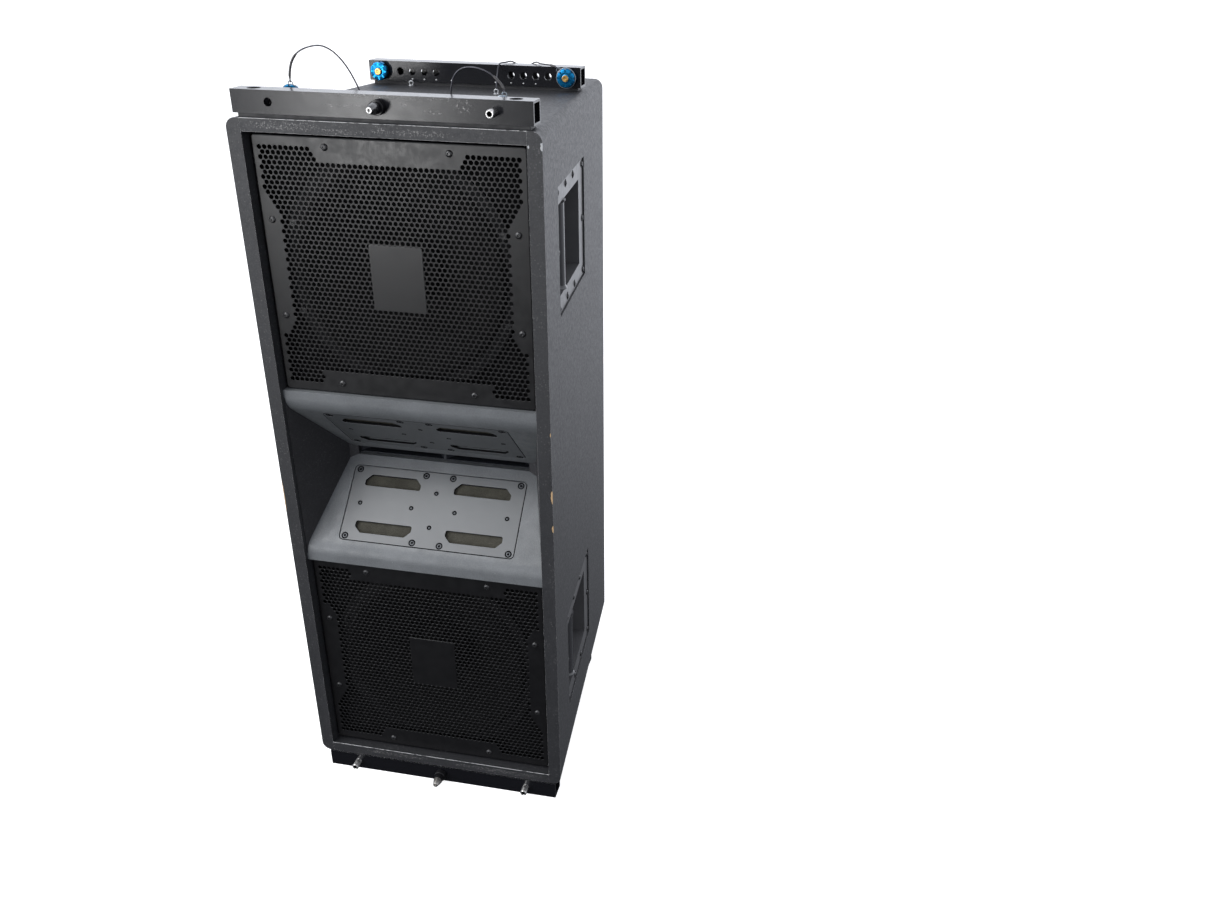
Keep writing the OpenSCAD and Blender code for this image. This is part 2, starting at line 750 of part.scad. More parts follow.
module pin_front_left_top() { color("#2f8fc4") cab() pin_place(-1, true, pin_drawn) pin(); }
module pin_front_right_top() { color("#2f8fc4") cab() pin_place(1, true) pin(); }
module pin_rear_left_top() { color("#2f8fc4") cab() pin_place(-1, false) pin(); }
module pin_rear_right_top() { color("#2f8fc4") cab() pin_place(1, false) pin(); }
module pin_front_left_bottom() { color("#2f8fc4") cab() flip_z() pin_place(-1, true) pin(); }
module pin_front_right_bottom() { color("#2f8fc4") cab() flip_z() pin_place(1, true) pin(); }
module pin_rear_left_bottom() { color("#2f8fc4") cab() flip_z() pin_place(-1, false) pin(); }
module pin_rear_right_bottom() { color("#2f8fc4") cab() flip_z() pin_place(1, false) pin(); }

module button_front_left_top() { color("#c9a04a") cab() pin_place(-1, true, pin_drawn) button(); }
module button_front_right_top() { color("#c9a04a") cab() pin_place(1, true) button(); }
module button_rear_left_top() { color("#c9a04a") cab() pin_place(-1, false) button(); }
module button_rear_right_top() { color("#c9a04a") cab() pin_place(1, false) button(); }
module button_front_left_bottom() { color("#c9a04a") cab() flip_z() pin_place(-1, true) button(); }
module button_front_right_bottom() { color("#c9a04a") cab() flip_z() pin_place(1, true) button(); }
module button_rear_left_bottom() { color("#c9a04a") cab() flip_z() pin_place(-1, false) button(); }
module button_rear_right_bottom() { color("#c9a04a") cab() flip_z() pin_place(1, false) button(); }

side_panel_left();
side_panel_right();
end_board_top();
end_board_bottom();
back_panel();
woofer_baffles();
horn_shelves();
mid_chambers();
horn_cheeks();
horn_flare_upper();
horn_flare_lower();
slot_plate_upper();
slot_plate_lower();
slot_foams();
slot_plate_screws();
grille_upper();
grille_lower();
grille_screws();
driver_baskets();
driver_cones();
driver_magnets();
driver_screws();
hf_waveguide();
hf_drivers();
handle_cups();
handle_grips();
handle_screws();
input_panel();
input_connectors();
tube_front_top();
tube_front_bottom();
tube_rear_top();
tube_rear_bottom();
tube_plates();
tube_bolts();
dolly_studs();
lanyard_eyes();
lanyard_front_left();
lanyard_front_right();
lanyard_rear_right();
link_front_top();
link_front_bottom();
link_rear_top();
link_rear_bottom();
pin_front_left_top();
pin_front_right_top();
pin_rear_left_top();
pin_rear_right_top();
pin_front_left_bottom();
pin_front_right_bottom();
pin_rear_left_bottom();
pin_rear_right_bottom();
button_front_left_top();
button_front_right_top();
button_rear_left_top();
button_rear_right_top();
button_front_left_bottom();
button_front_right_bottom();
button_rear_left_bottom();
button_rear_right_bottom();
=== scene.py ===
"""Looks of the line array loudspeaker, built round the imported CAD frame.

Shapes are modelled in cabinet millimetres: x across, y back from the front edges, z up from the
cabinet's lower end.
"""
import json
import math
import random

import bmesh
import bpy
from mathutils import Matrix, Vector, geometry


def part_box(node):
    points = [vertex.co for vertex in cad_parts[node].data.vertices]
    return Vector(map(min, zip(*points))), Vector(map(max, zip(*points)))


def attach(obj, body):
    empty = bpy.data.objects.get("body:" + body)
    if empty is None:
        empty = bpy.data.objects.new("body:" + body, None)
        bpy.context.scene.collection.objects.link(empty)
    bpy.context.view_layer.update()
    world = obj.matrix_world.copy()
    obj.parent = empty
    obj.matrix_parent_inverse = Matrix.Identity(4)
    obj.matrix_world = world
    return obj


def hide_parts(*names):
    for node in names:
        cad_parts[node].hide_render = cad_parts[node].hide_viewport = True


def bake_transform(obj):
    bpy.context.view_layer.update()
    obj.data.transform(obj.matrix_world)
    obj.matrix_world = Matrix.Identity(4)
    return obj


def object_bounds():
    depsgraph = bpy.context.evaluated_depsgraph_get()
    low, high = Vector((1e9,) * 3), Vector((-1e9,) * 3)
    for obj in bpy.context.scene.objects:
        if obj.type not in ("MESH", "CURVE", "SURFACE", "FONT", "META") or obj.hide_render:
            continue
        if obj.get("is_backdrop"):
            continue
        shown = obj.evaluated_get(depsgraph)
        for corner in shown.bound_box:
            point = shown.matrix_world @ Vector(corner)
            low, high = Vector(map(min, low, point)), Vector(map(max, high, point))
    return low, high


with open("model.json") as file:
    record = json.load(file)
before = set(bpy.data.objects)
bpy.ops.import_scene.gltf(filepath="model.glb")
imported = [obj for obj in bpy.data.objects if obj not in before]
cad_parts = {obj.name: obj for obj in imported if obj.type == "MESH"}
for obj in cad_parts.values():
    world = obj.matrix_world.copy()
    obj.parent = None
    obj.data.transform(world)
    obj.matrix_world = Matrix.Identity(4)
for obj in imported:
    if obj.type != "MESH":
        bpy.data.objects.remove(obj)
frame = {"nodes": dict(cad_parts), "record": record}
cad_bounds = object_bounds()
NODES = frame["nodes"]
SLOT_OF = {p["node"]: p["material_slot"] for p in frame["record"]["subparts"]}
BODY_OF = {n: b for b, ns in frame["record"]["behaviour"]["bodies"].items() for n in ns}

# ---------- places, worked out from the frame ----------

MM = 0.001
panel_lo, panel_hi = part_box("side_panel_right")
ORIGIN = Vector((0, panel_lo.y, panel_lo.z))


def cad(node):
    """Lowest and highest corner of a CAD node, in cabinet millimetres."""
    lo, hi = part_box(node)
    return (lo - ORIGIN) / MM, (hi - ORIGIN) / MM


HALF_W = panel_hi.x / MM
CAB_H = (panel_hi.z - panel_lo.z) / MM
MID_H = CAB_H / 2
CAB_D = (panel_hi.y - panel_lo.y) / MM
SIDE_ANGLE = math.radians(5)
ROOT2 = math.sqrt(2)

FLIP = Matrix.Translation((0, 0, CAB_H)) @ Matrix.Diagonal((1, 1, -1, 1))
KEEP = Matrix.Identity(4)
ALONG_Y = Matrix.Rotation(math.radians(-90), 4, "X")
ALONG_X = Matrix.Rotation(math.radians(90), 4, "Y")
ENDS = {"upper": KEEP, "lower": FLIP}


def at(x, y, z):
    return Matrix.Translation((x, y, z))


def on_side(side):
    """Onto the outer face of a side panel: x outward, y back along the panel."""
    mirror = Matrix.Diagonal((side, 1, 1, 1))
    return mirror @ at(HALF_W, 0, 0) @ Matrix.Rotation(SIDE_ANGLE, 4, "Z")


# ---------- procedural materials ----------


class Look:
    """One material: a Principled shader, and short calls for the nodes that feed it."""

    def __init__(self, name, base, rough, metal=0.0, specular=0.5):
        self.material = bpy.data.materials.new(name)
        self.material.use_nodes = True
        self.tree = self.material.node_tree
        self.shader = self.tree.nodes["Principled BSDF"]
        self.where = self.node("ShaderNodeTexCoord").outputs["Object"]
        self.base(base)
        self.rough(rough)
        self.shader.inputs["Metallic"].default_value = metal
        self.shader.inputs["Specular IOR Level"].default_value = specular
        self.material.diffuse_color = (*base, 1)

    def node(self, kind, **settings):
        made = self.tree.nodes.new(kind)
        for key, value in settings.items():
            setattr(made, key, value)
        return made

    def put(self, socket, value):
        if isinstance(value, bpy.types.NodeSocket):
            self.tree.links.new(value, socket)
        elif hasattr(value, "__len__") and socket.type == "RGBA":
            socket.default_value = (*value, 1)
        else:
            socket.default_value = value

    def base(self, value):
        self.put(self.shader.inputs["Base Color"], value)

    def rough(self, value):
        self.put(self.shader.inputs["Roughness"], value)

    def stretched(self, scale):
        mapped = self.node("ShaderNodeMapping")
        mapped.inputs["Scale"].default_value = scale
        self.put(mapped.inputs["Vector"], self.where)
        return mapped.outputs["Vector"]

    def noise(self, size, detail=3.0, roughness=0.55, where=None):
        """Fractal noise whose lumps are about size millimetres across."""
        made = self.node("ShaderNodeTexNoise")
        self.put(made.inputs["Vector"], where or self.where)
        made.inputs["Scale"].default_value = 1 / (size * MM)
        made.inputs["Detail"].default_value = detail
        made.inputs["Roughness"].default_value = roughness
        return made.outputs["Fac"]

    def cells(self, size, feature="F1", where=None):
        """Distance to the nearest of points about size millimetres apart, as a share of that size."""
        made = self.node("ShaderNodeTexVoronoi", feature=feature)
        self.put(made.inputs["Vector"], where or self.where)
        made.inputs["Scale"].default_value = 1 / (size * MM)
        return made.outputs["Distance"]

    def step(self, value, low, high, to_low=0.0, to_high=1.0):
        """A smooth step of value, from to_low at low to to_high at high."""
        made = self.node("ShaderNodeMapRange", interpolation_type="SMOOTHSTEP")
        self.put(made.inputs["Value"], value)
        for name, number in (("From Min", low), ("From Max", high),
                             ("To Min", to_low), ("To Max", to_high)):
            made.inputs[name].default_value = number
        return made.outputs["Result"]

    def math(self, operation, a, b):
        made = self.node("ShaderNodeMath", operation=operation)
        self.put(made.inputs[0], a)
        self.put(made.inputs[1], b)
        return made.outputs["Value"]

    def mix(self, share, a, b):
        made = self.node("ShaderNodeMix", data_type="RGBA")
        self.put(made.inputs["Factor"], share)
        self.put(made.inputs[6], a)
        self.put(made.inputs[7], b)
        return made.outputs[2]

    def axis(self, name):
        split = self.node("ShaderNodeSeparateXYZ")
        self.put(split.inputs["Vector"], self.where)
        return split.outputs[name]

    def spot(self, centre, reach, ragged=0.35, grain=3.0):
        """1 inside a ragged patch round centre (cabinet millimetres), whose half sizes are reach."""
        shift = self.node("ShaderNodeVectorMath", operation="SUBTRACT")
        self.put(shift.inputs[0], self.where)
        shift.inputs[1].default_value = Vector(centre) * MM + ORIGIN
        scale = self.node("ShaderNodeVectorMath", operation="DIVIDE")
        self.put(scale.inputs[0], shift.outputs["Vector"])
        scale.inputs[1].default_value = Vector(reach) * MM
        length = self.node("ShaderNodeVectorMath", operation="LENGTH")
        self.put(length.inputs[0], scale.outputs["Vector"])
        torn = self.math("MULTIPLY_ADD", self.noise(grain, 4), ragged * 4)
        torn.node.inputs[2].default_value = -ragged * 2
        return self.step(self.math("ADD", length.outputs["Value"], torn), 1.0, 0.85)

    def any_spot(self, spots, ragged, grain):
        """The largest of several spots."""
        found = None
        for centre, reach in spots:
            here = self.spot(centre, reach, ragged, grain)
            found = here if found is None else self.math("MAXIMUM", found, here)
        return found

    def bump(self, height, millimetres, strength=1.0):
        made = self.node("ShaderNodeBump")
        made.inputs["Strength"].default_value = strength
        made.inputs["Distance"].default_value = millimetres * MM
        self.put(made.inputs["Height"], height)
        old = self.shader.inputs["Normal"]
        if old.is_linked:
            self.put(made.inputs["Normal"], old.links[0].from_socket)
        self.put(old, made.outputs["Normal"])


WOOD = (0.56, 0.37, 0.19)
DUST = (0.36, 0.35, 0.34)
CHIPS = [((HALF_W, 0, 627), (3.2, 3.2, 13)), ((HALF_W, 0, 566), (3, 3, 7)),
         ((HALF_W, 0, 741), (1.6, 1.6, 4)), ((-HALF_W, 1, 572), (2, 5, 34)),
         ((HALF_W - 52, CAB_D, 640), (4, 4, 12)), ((-HALF_W + 52, CAB_D, 300), (4, 4, 18)),
         ((HALF_W - 50, CAB_D, 210), (4, 4, 9))]
TUBE_SCUFFS = [((55, 4, 1250.5), (75, 3, 3)), ((-20, 4, 1251), (60, 3, 2.5)), ((38, 4, 1240), (5, 3, 4)),
               ((128, 4, 1240), (16, 3, 9)), ((-60, 4, 1236), (30, 3, 2)), ((-115, 4, 1252), (2.6, 3, 2.6)),
               ((84, 4, 1232), (14, 3, 3))]
RUBS = [((HALF_W - 1, 0, 1192), (2.2, 3, 7)), ((HALF_W - 21, 0, 1191), (1.2, 3, 2.6))]
SCUFFS = [((-150, 0, 1204), (60, 3, 6)), ((-118, 0, 1203), (9, 3, 7)), ((-2, 0, 1204), (10, 3, 6)),
          ((60, 0, 1202), (50, 3, 5)), ((-60, 0, 1199), (40, 3, 4)), ((120, 0, 10), (90, 3, 5)),
          ((-90, 0, 12), (70, 3, 5))]


def cabinet_look(name, base, wear, rub=0.24):
    """Rolled textured paint with rubbed and chipped places; wear is how much of it has gone."""
    look = Look(name, base, 0.5, specular=0.68)
    grain = look.noise(2.4, 2.5)
    drift = look.step(look.noise(120, 3), 0.3, 0.7)
    tone = look.mix(drift, [c * 0.9 for c in base], [c * 1.12 for c in base])
    tone = look.mix(look.step(grain, 0.5, 0.72, 0, 0.6), tone, [c * 3 for c in base])
    tips = look.math("MULTIPLY", look.step(look.cells(5), 0.3, 0.15), look.step(look.noise(40, 3), 0.42, 0.6))
    tone = look.mix(look.math("MULTIPLY", tips, 0.12), tone, DUST)
    rubbed = look.step(look.noise(9, 6, 0.7), 0.66 - 0.3 * wear, 0.74 - 0.26 * wear, 0, wear)
    tone = look.mix(rubbed, tone, (rub, rub, rub))
    specks = look.math("MULTIPLY", look.step(look.cells(14), 0.07, 0.045),
                       look.step(look.noise(60, 2), 0.54, 0.66))
    tone = look.mix(look.math("MULTIPLY", specks, 0.45), tone, DUST)
    scuffed = look.any_spot(SCUFFS, 0.5, 5.0)
    flecks = look.step(look.noise(2.6, 5, 0.75), 0.5, 0.66)
    tone = look.mix(look.math("MULTIPLY", look.math("MULTIPLY", scuffed, flecks), 0.55), tone, DUST)
    tone = look.mix(look.any_spot(RUBS, 0.35, 2.0), tone, (0.4, 0.41, 0.42))
    chips = look.any_spot(CHIPS, 0.14, 3.0)
    grain_wood = look.mix(look.noise(4, 5, 0.6, look.stretched((1, 1, 0.15))), WOOD,
                          [c * 0.6 for c in WOOD])
    look.base(look.mix(chips, tone, grain_wood))
    look.rough(look.step(look.noise(6, 3), 0.3, 0.7, 0.46, 0.6))
    look.bump(look.noise(2.6, 4, 0.6), 0.55, 0.55)
    look.bump(look.math("MULTIPLY", chips, -1.0), 0.8, 0.8)
    return look.material


def moulding_look(name, base):
    """Pebbled structural plastic, as on the horn."""
    look = Look(name, base, 0.42, specular=0.5)
    pebbles = look.cells(1.9, "SMOOTH_F1")
    drift = look.step(look.noise(60, 3), 0.35, 0.7)
    tone = look.mix(drift, [c * 0.9 for c in base], [c * 1.1 for c in base])
    tone = look.mix(look.step(pebbles, 0.25, 0.6, 0, 0.22), tone, [c * 1.5 for c in base])
    dust = look.math("MULTIPLY", look.step(look.cells(11), 0.07, 0.04),
                     look.step(look.noise(45, 2), 0.5, 0.65))
    look.base(look.mix(look.math("MULTIPLY", dust, 0.5), tone, (0.45, 0.45, 0.43)))
    look.rough(look.step(look.noise(14, 4), 0.3, 0.7, 0.36, 0.52))
    look.bump(pebbles, 0.35, 0.5)
    look.bump(look.noise(0.8, 2), 0.15, 0.5)
    return look.material


def paint_look(name, base, rough=0.4, grain=0.9, depth=0.08, wear=0.0, patchy=1.0, specular=0.7, scuffs=()):
    """Powder coat or enamel with a fine orange peel; worn places show the metal under it."""
    look = Look(name, base, rough, specular=specular)
    drift = look.step(look.noise(45, 4), 0.3, 0.7)
    tone = look.mix(drift, [c * (1 - 0.15 * patchy) for c in base], [c * (1 + 0.2 * patchy) for c in base])
    worn = look.step(look.noise(5, 7, 0.72), 0.74 - 0.22 * wear, 0.78 - 0.2 * wear, 0, min(1, wear * 3))
    if scuffs:
        flecks = look.step(look.noise(2.2, 5, 0.75, look.stretched((0.4, 1, 1))), 0.53, 0.72, 0, 0.6)
        worn = look.math("MAXIMUM", worn, look.math("MULTIPLY", look.any_spot(scuffs, 0.6, 6.0), flecks))
    look.base(look.mix(worn, tone, (0.45, 0.44, 0.44)))
    look.rough(look.step(look.noise(12, 4), 0.25, 0.75, rough - 0.08 * patchy, rough + 0.1 * patchy))
    look.put(look.shader.inputs["Metallic"], look.math("MULTIPLY", worn, 0.8))
    look.bump(look.noise(grain, 2), depth, 0.6)
    look.bump(look.math("MULTIPLY", worn, -1.0), 0.08, 0.5)
    return look.material


def metal_look(name, base, rough=0.3, tarnish=0.4, lines=(1, 1, 1)):
    """Bare or plated metal with handling marks; lines stretches the brushing."""
    look = Look(name, base, rough, metal=1.0)
    marks = look.noise(1.2, 5, 0.65, look.stretched(lines))
    stain = look.step(look.noise(7, 5, 0.65), 0.45, 0.75, 0, tarnish)
    look.base(look.mix(stain, base, [c * 0.35 for c in base]))
    look.rough(look.step(marks, 0.3, 0.7, rough - 0.1, rough + 0.16))
    look.bump(marks, 0.03, 0.5)
    return look.material


def soft_look(name, base, size, depth, rough=0.9):
    """Open foam or doped paper: pores or fibres of about size millimetres."""
    look = Look(name, base, rough, specular=0.2)
    pores = look.cells(size)
    tone = look.mix(look.step(pores, 0.1, 0.6), [c * 0.45 for c in base], base)
    look.base(look.mix(look.step(look.noise(30, 3), 0.35, 0.7, 0, 0.4), tone, [c * 1.5 for c in base]))
    look.bump(pores, depth, 0.9)
    return look.material


def wood_look(name, base):
    """Plies seen on edge and grain on the faces."""
    look = Look(name, base, 0.7, specular=0.3)
    grain = look.noise(6, 6, 0.6, look.stretched((1, 0.12, 1)))
    look.base(look.mix(look.step(grain, 0.3, 0.7), [c * 0.65 for c in base], base))
    look.bump(grain, 0.2, 0.4)
    return look.material


LOOKS = {
    "cabinet_paint": cabinet_look("cabinet_paint", (0.013, 0.0135, 0.0155), 0.1),
    "cabinet_edge": cabinet_look("cabinet_edge", (0.03, 0.0305, 0.0325), 0.95, 0.6),
    "cheek_paint": cabinet_look("cheek_paint", (0.014, 0.014, 0.016), 0.05),
    "baffle_paint": soft_look("baffle_paint", (0.002, 0.002, 0.0022), 2.5, 0.2, 1.0),
    "bare_wood": wood_look("bare_wood", (0.5, 0.36, 0.21)),
    "horn_moulding": moulding_look("horn_moulding", (0.122, 0.129, 0.134)),
    "slot_plate_paint": paint_look("slot_plate_paint", (0.087, 0.0925, 0.097), 0.42, 0.7, 0.05, 0, 0.15),
    "screw_face": metal_look("screw_face", (0.09, 0.095, 0.1), 0.42),
    # Near-black painted shade for the walls of slots and holes, the rings round screw heads and the bore in a
    # pin's tip.
    "painted_shade_black": soft_look("painted_shade_black", (0.003, 0.003, 0.0035), 1.5, 0.1, 1.0),
    "foam": soft_look("foam", (0.062, 0.059, 0.047), 1.1, 0.8),
    "black_screw": paint_look("black_screw", (0.012, 0.012, 0.013), 0.3, 0.6, 0.02, 0.12),
    "grille_paint": paint_look("grille_paint", (0.0042, 0.0042, 0.0048), 0.33, 0.8, 0.04, 0, 0.5, 0.5),
    "basket_cast": soft_look("basket_cast", (0.005, 0.005, 0.0055), 1.6, 0.1, 0.7),
    "cone": soft_look("cone", (0.003, 0.003, 0.003), 2.2, 0.3, 0.9),
    "magnet_steel": metal_look("magnet_steel", (0.4, 0.4, 0.42), 0.4),
    "guide_plastic": moulding_look("guide_plastic", (0.019, 0.0215, 0.027)),
    "driver_alloy": metal_look("driver_alloy", (0.25, 0.25, 0.26), 0.5),
    "handle_paint": paint_look("handle_paint", (0.085, 0.085, 0.088), 0.36, 0.9, 0.05, 0.0, 0.4, 0.45),
    "cup_paint": paint_look("cup_paint", (0.03, 0.032, 0.041), 0.3, 0.9, 0.04, 0, 0.4, 0.8),
    "grip_paint": paint_look("grip_paint", (0.06, 0.061, 0.065), 0.14, 0.9, 0.02, 0.08, 0.3, 1.0),
    "panel_metal": paint_look("panel_metal", (0.02, 0.021, 0.023), 0.45, 0.7, 0.06, 0.08),
    "socket_plastic": paint_look("socket_plastic", (0.01, 0.01, 0.011), 0.35, 0.8, 0.03),
    "tube_paint": paint_look("tube_paint", (0.0055, 0.0057, 0.0075), 0.24, 1.1, 0.03, 0.05, 0.2, 0.36,
                             TUBE_SCUFFS),
    # Tube edges: a little darker than tube_paint, which paints the dark reflected line along the rounded
    # corners, with real wear on them.
    "tube_edge_worn_and_shaded": paint_look("tube_edge_worn_and_shaded", (0.004, 0.004, 0.005), 0.3, 1.1, 0.03, 0.12, 0.2, 0.4, TUBE_SCUFFS),
    "tube_rubbed": metal_look("tube_rubbed", (0.45, 0.45, 0.46), 0.4, 0.5),
    "tube_cut": metal_look("tube_cut", (0.5, 0.49, 0.48), 0.42),
    # Tube plates: their own black, which also paints the shade of their recess under the tubes.
    "plate_black": paint_look("plate_black", (0.006, 0.006, 0.007), 0.55, 1.1, 0.05),
    "bolt_steel": metal_look("bolt_steel", (0.5, 0.5, 0.5), 0.35),
    "stud_steel": paint_look("stud_steel", (0.006, 0.006, 0.007), 0.3, 0.7, 0.02, 0.1, 0.5, 0.4),
    "stud_nose": metal_look("stud_nose", (0.2, 0.2, 0.2), 0.24, 0.4),
    "stud_worn": metal_look("stud_worn", (0.5, 0.48, 0.45), 0.28, 0.6),
    "wire_steel": metal_look("wire_steel", (0.07, 0.07, 0.08), 0.4, 0.3),
    "ring_steel": metal_look("ring_steel", (0.3, 0.34, 0.37), 0.36, 0.3),
    "shrink_sleeve": paint_look("shrink_sleeve", (0.035, 0.032, 0.033), 0.45, 0.7, 0.03),
    "ferrule": metal_look("ferrule", (0.5, 0.51, 0.52), 0.32, 0.3),
    "link_steel": metal_look("link_steel", (0.1, 0.1, 0.11), 0.42),
    "pin_steel": metal_look("pin_steel", (0.72, 0.71, 0.69), 0.2, 0.3),
    "pin_blue": metal_look("pin_blue", (0.012, 0.2, 0.44), 0.26, 0.25),
    "button_brass": metal_look("button_brass", (0.8, 0.5, 0.16), 0.3, 0.2),
}

# ---------- shapes ----------


def turned(profile, segments=48):
    """Vertices and faces of a profile turned about +Z. A radius may be a function of the angle."""
    verts, faces, rings = [], [], []
    for radius, z in profile:
        if radius == 0:
            rings.append([len(verts)])
            verts.append((0, 0, z))
            continue
        rings.append(range(len(verts), len(verts) + segments))
        for k in range(segments):
            angle = math.tau * k / segments
            r = radius(angle) if callable(radius) else radius
            verts.append((r * math.cos(angle), r * math.sin(angle), z))
    for low, high in zip(rings, rings[1:]):
        for k in range(segments):
            n = (k + 1) % segments
            if len(low) == 1:
                faces.append((low[0], high[n], high[k]))
            elif len(high) == 1:
                faces.append((low[k], low[n], high[0]))
            else:
                faces.append((low[k], low[n], high[n], high[k]))
    return verts, faces


def hexagon(across):
    """Radius of a hexagon, across being the distance between its flats."""
    return lambda angle: across / 2 / math.cos((angle + math.pi / 6) % (math.pi / 3) - math.pi / 6)


def ring(radius, count=12, centre=(0, 0), start=0.0):
    return [(centre[0] + radius * math.cos(start + math.tau * k / count),
             centre[1] + radius * math.sin(start + math.tau * k / count)) for k in range(count)]


def rounded(points, radius, steps=5):
    """A convex outline, anticlockwise, with its corners rounded."""
    made = []
    for i, p in enumerate(points):
        p = Vector(p)
        a = (Vector(points[i - 1]) - p).normalized()
        b = (Vector(points[(i + 1) % len(points)]) - p).normalized()
        half = a.angle(b) / 2
        centre = p + (a + b).normalized() * radius / math.sin(half)
        first = (p + a * radius / math.tan(half)) - centre
        turn = math.pi - 2 * half
        for k in range(steps + 1):
            c, s = math.cos(turn * k / steps), math.sin(turn * k / steps)
            made.append(tuple(centre + Vector((first.x * c - first.y * s, first.x * s + first.y * c))))
    return made


def box_outline(x0, y0, x1, y1):
    return [(x0, y0), (x1, y0), (x1, y1), (x0, y1)]


def inset(loop, distance):
    """The loop drawn in towards its own inside by distance."""
    made = []
    for i, p in enumerate(loop):
        p = Vector(p)
        a = (p - Vector(loop[i - 1])).normalized()
        b = (Vector(loop[(i + 1) % len(loop)]) - p).normalized()
        normal = Vector((-(a + b).y, (a + b).x)).normalized()
        made.append(p + normal * distance / max(0.5, (a.x * b.x + a.y * b.y + 1) / 2) ** 0.5)
    return made


def sheet(outline, holes, rim, hole_rim):
    """Flat plate with holes, front face at z 0. rim and hole_rim are (inset, depth) pairs from the
    front face's edge to the back face's; a hole's inset is negative where the hole is wider."""
    loops = [outline, *holes]
    rims = [rim] + [hole_rim] * len(holes)
    points, edges, starts = [], [], []
    for loop, steps in zip(loops, rims):
        starts.append(len(points))
        points += [Vector(p) for p in inset(loop, steps[0][0])]
        edges += [(starts[-1] + k, starts[-1] + (k + 1) % len(loop)) for k in range(len(loop))]
    owner = [i for i, loop in enumerate(loops) for _ in loop]
    out = geometry.delaunay_2d_cdt(points, edges, [], 1, 1e-6)
    new = [ids[0] for ids in out[3]]
    front = [[new[v] for v in face] for face in out[2]]
    front = [f for f in front if not (owner[f[0]] and owner[f[0]] == owner[f[1]] == owner[f[2]])]
    verts, faces, last = [(p.x, p.y, rims[owner[i]][0][1]) for i, p in enumerate(points)], [], []
    faces += [f[::-1] for f in front]
    for loop, steps, start in zip(loops, rims, starts):
        before = start
        for distance, depth in steps[1:]:
            now = len(verts)
            verts += [(p[0], p[1], depth) for p in inset(loop, distance)]
            for k in range(len(loop)):
                n = (k + 1) % len(loop)
                face = (before + k, before + n, now + n, now + k)
                faces.append(face if start == 0 else face[::-1])
            before = now
        last.append(before - start)
    faces += [[v + last[owner[v]] for v in f] for f in front]
    return verts, faces


def swept(section, path, closed=False):
    """A section, given for each ring by section(share, length so far), swept along the points of path."""
    points = [Vector(p) for p in path]
    count = len(points)
    verts, faces, length, side = [], [], 0.0, None
    for i, p in enumerate(points):
        ahead = points[(i + 1) % count] if closed or i < count - 1 else p
        behind = points[i - 1] if closed or i else p
        along = (ahead - behind).normalized()
        side = side or along.orthogonal()
        side = (side - along * side.dot(along)).normalized()
        up = along.cross(side)
        if i:
            length += (p - points[i - 1]).length
        ring_points = section(i / (count - 1), length)
        verts += [tuple(p + side * a + up * b) for a, b in ring_points]
    n = len(ring_points)
    for i in range(count if closed else count - 1):
        j = (i + 1) % count
        faces += [(i * n + k, i * n + (k + 1) % n, j * n + (k + 1) % n, j * n + k) for k in range(n)]
    if not closed:
        faces += [tuple(range(n))[::-1], tuple(range((count - 1) * n, count * n))]
    return verts, faces


class Piece:
    """A mesh in cabinet millimetres that becomes one piece on a CAD body."""

    def __init__(self, name, node, looks, slot=None):
        self.name, self.node, self.looks = name, node, looks
        self.slot = slot or SLOT_OF[node]
        self.verts, self.faces, self.numbers = [], [], []

    def add(self, shape, where=KEEP, look=0):
        verts, faces = shape
        start = len(self.verts)
        self.verts += [where @ Vector(v) for v in verts]
        turned_over = where.to_3x3().determinant() < 0
        for face in faces:
            face = [start + v for v in face]
            self.faces.append(face[::-1] if turned_over else face)
        self.numbers += [look(f) for f in faces] if callable(look) else [look] * len(faces)
        return self

    def finish(self, replaces=(), angle=35, body=None):
        mesh = bpy.data.meshes.new(self.name)
        mesh.from_pydata([v * MM + ORIGIN for v in self.verts], [], self.faces)
        for name in self.looks:
            mesh.materials.append(LOOKS[name])
        mesh.polygons.foreach_set("material_index", self.numbers)
        return settle(self.name, mesh, self.node, self.slot, replaces, angle, body)


def settle(name, mesh, node, slot, replaces, angle, body=None):
    """Smooths a mesh, and makes it a piece that rides on the node's body."""
    mesh.shade_smooth()
    mesh.set_sharp_from_angle(angle=math.radians(angle))
    made = bpy.data.objects.new(name, mesh)
    bpy.context.scene.collection.objects.link(made)
    if replaces:
        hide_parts(*replaces)
    if body != "blend":
        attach(made, body or BODY_OF[node])
    return made


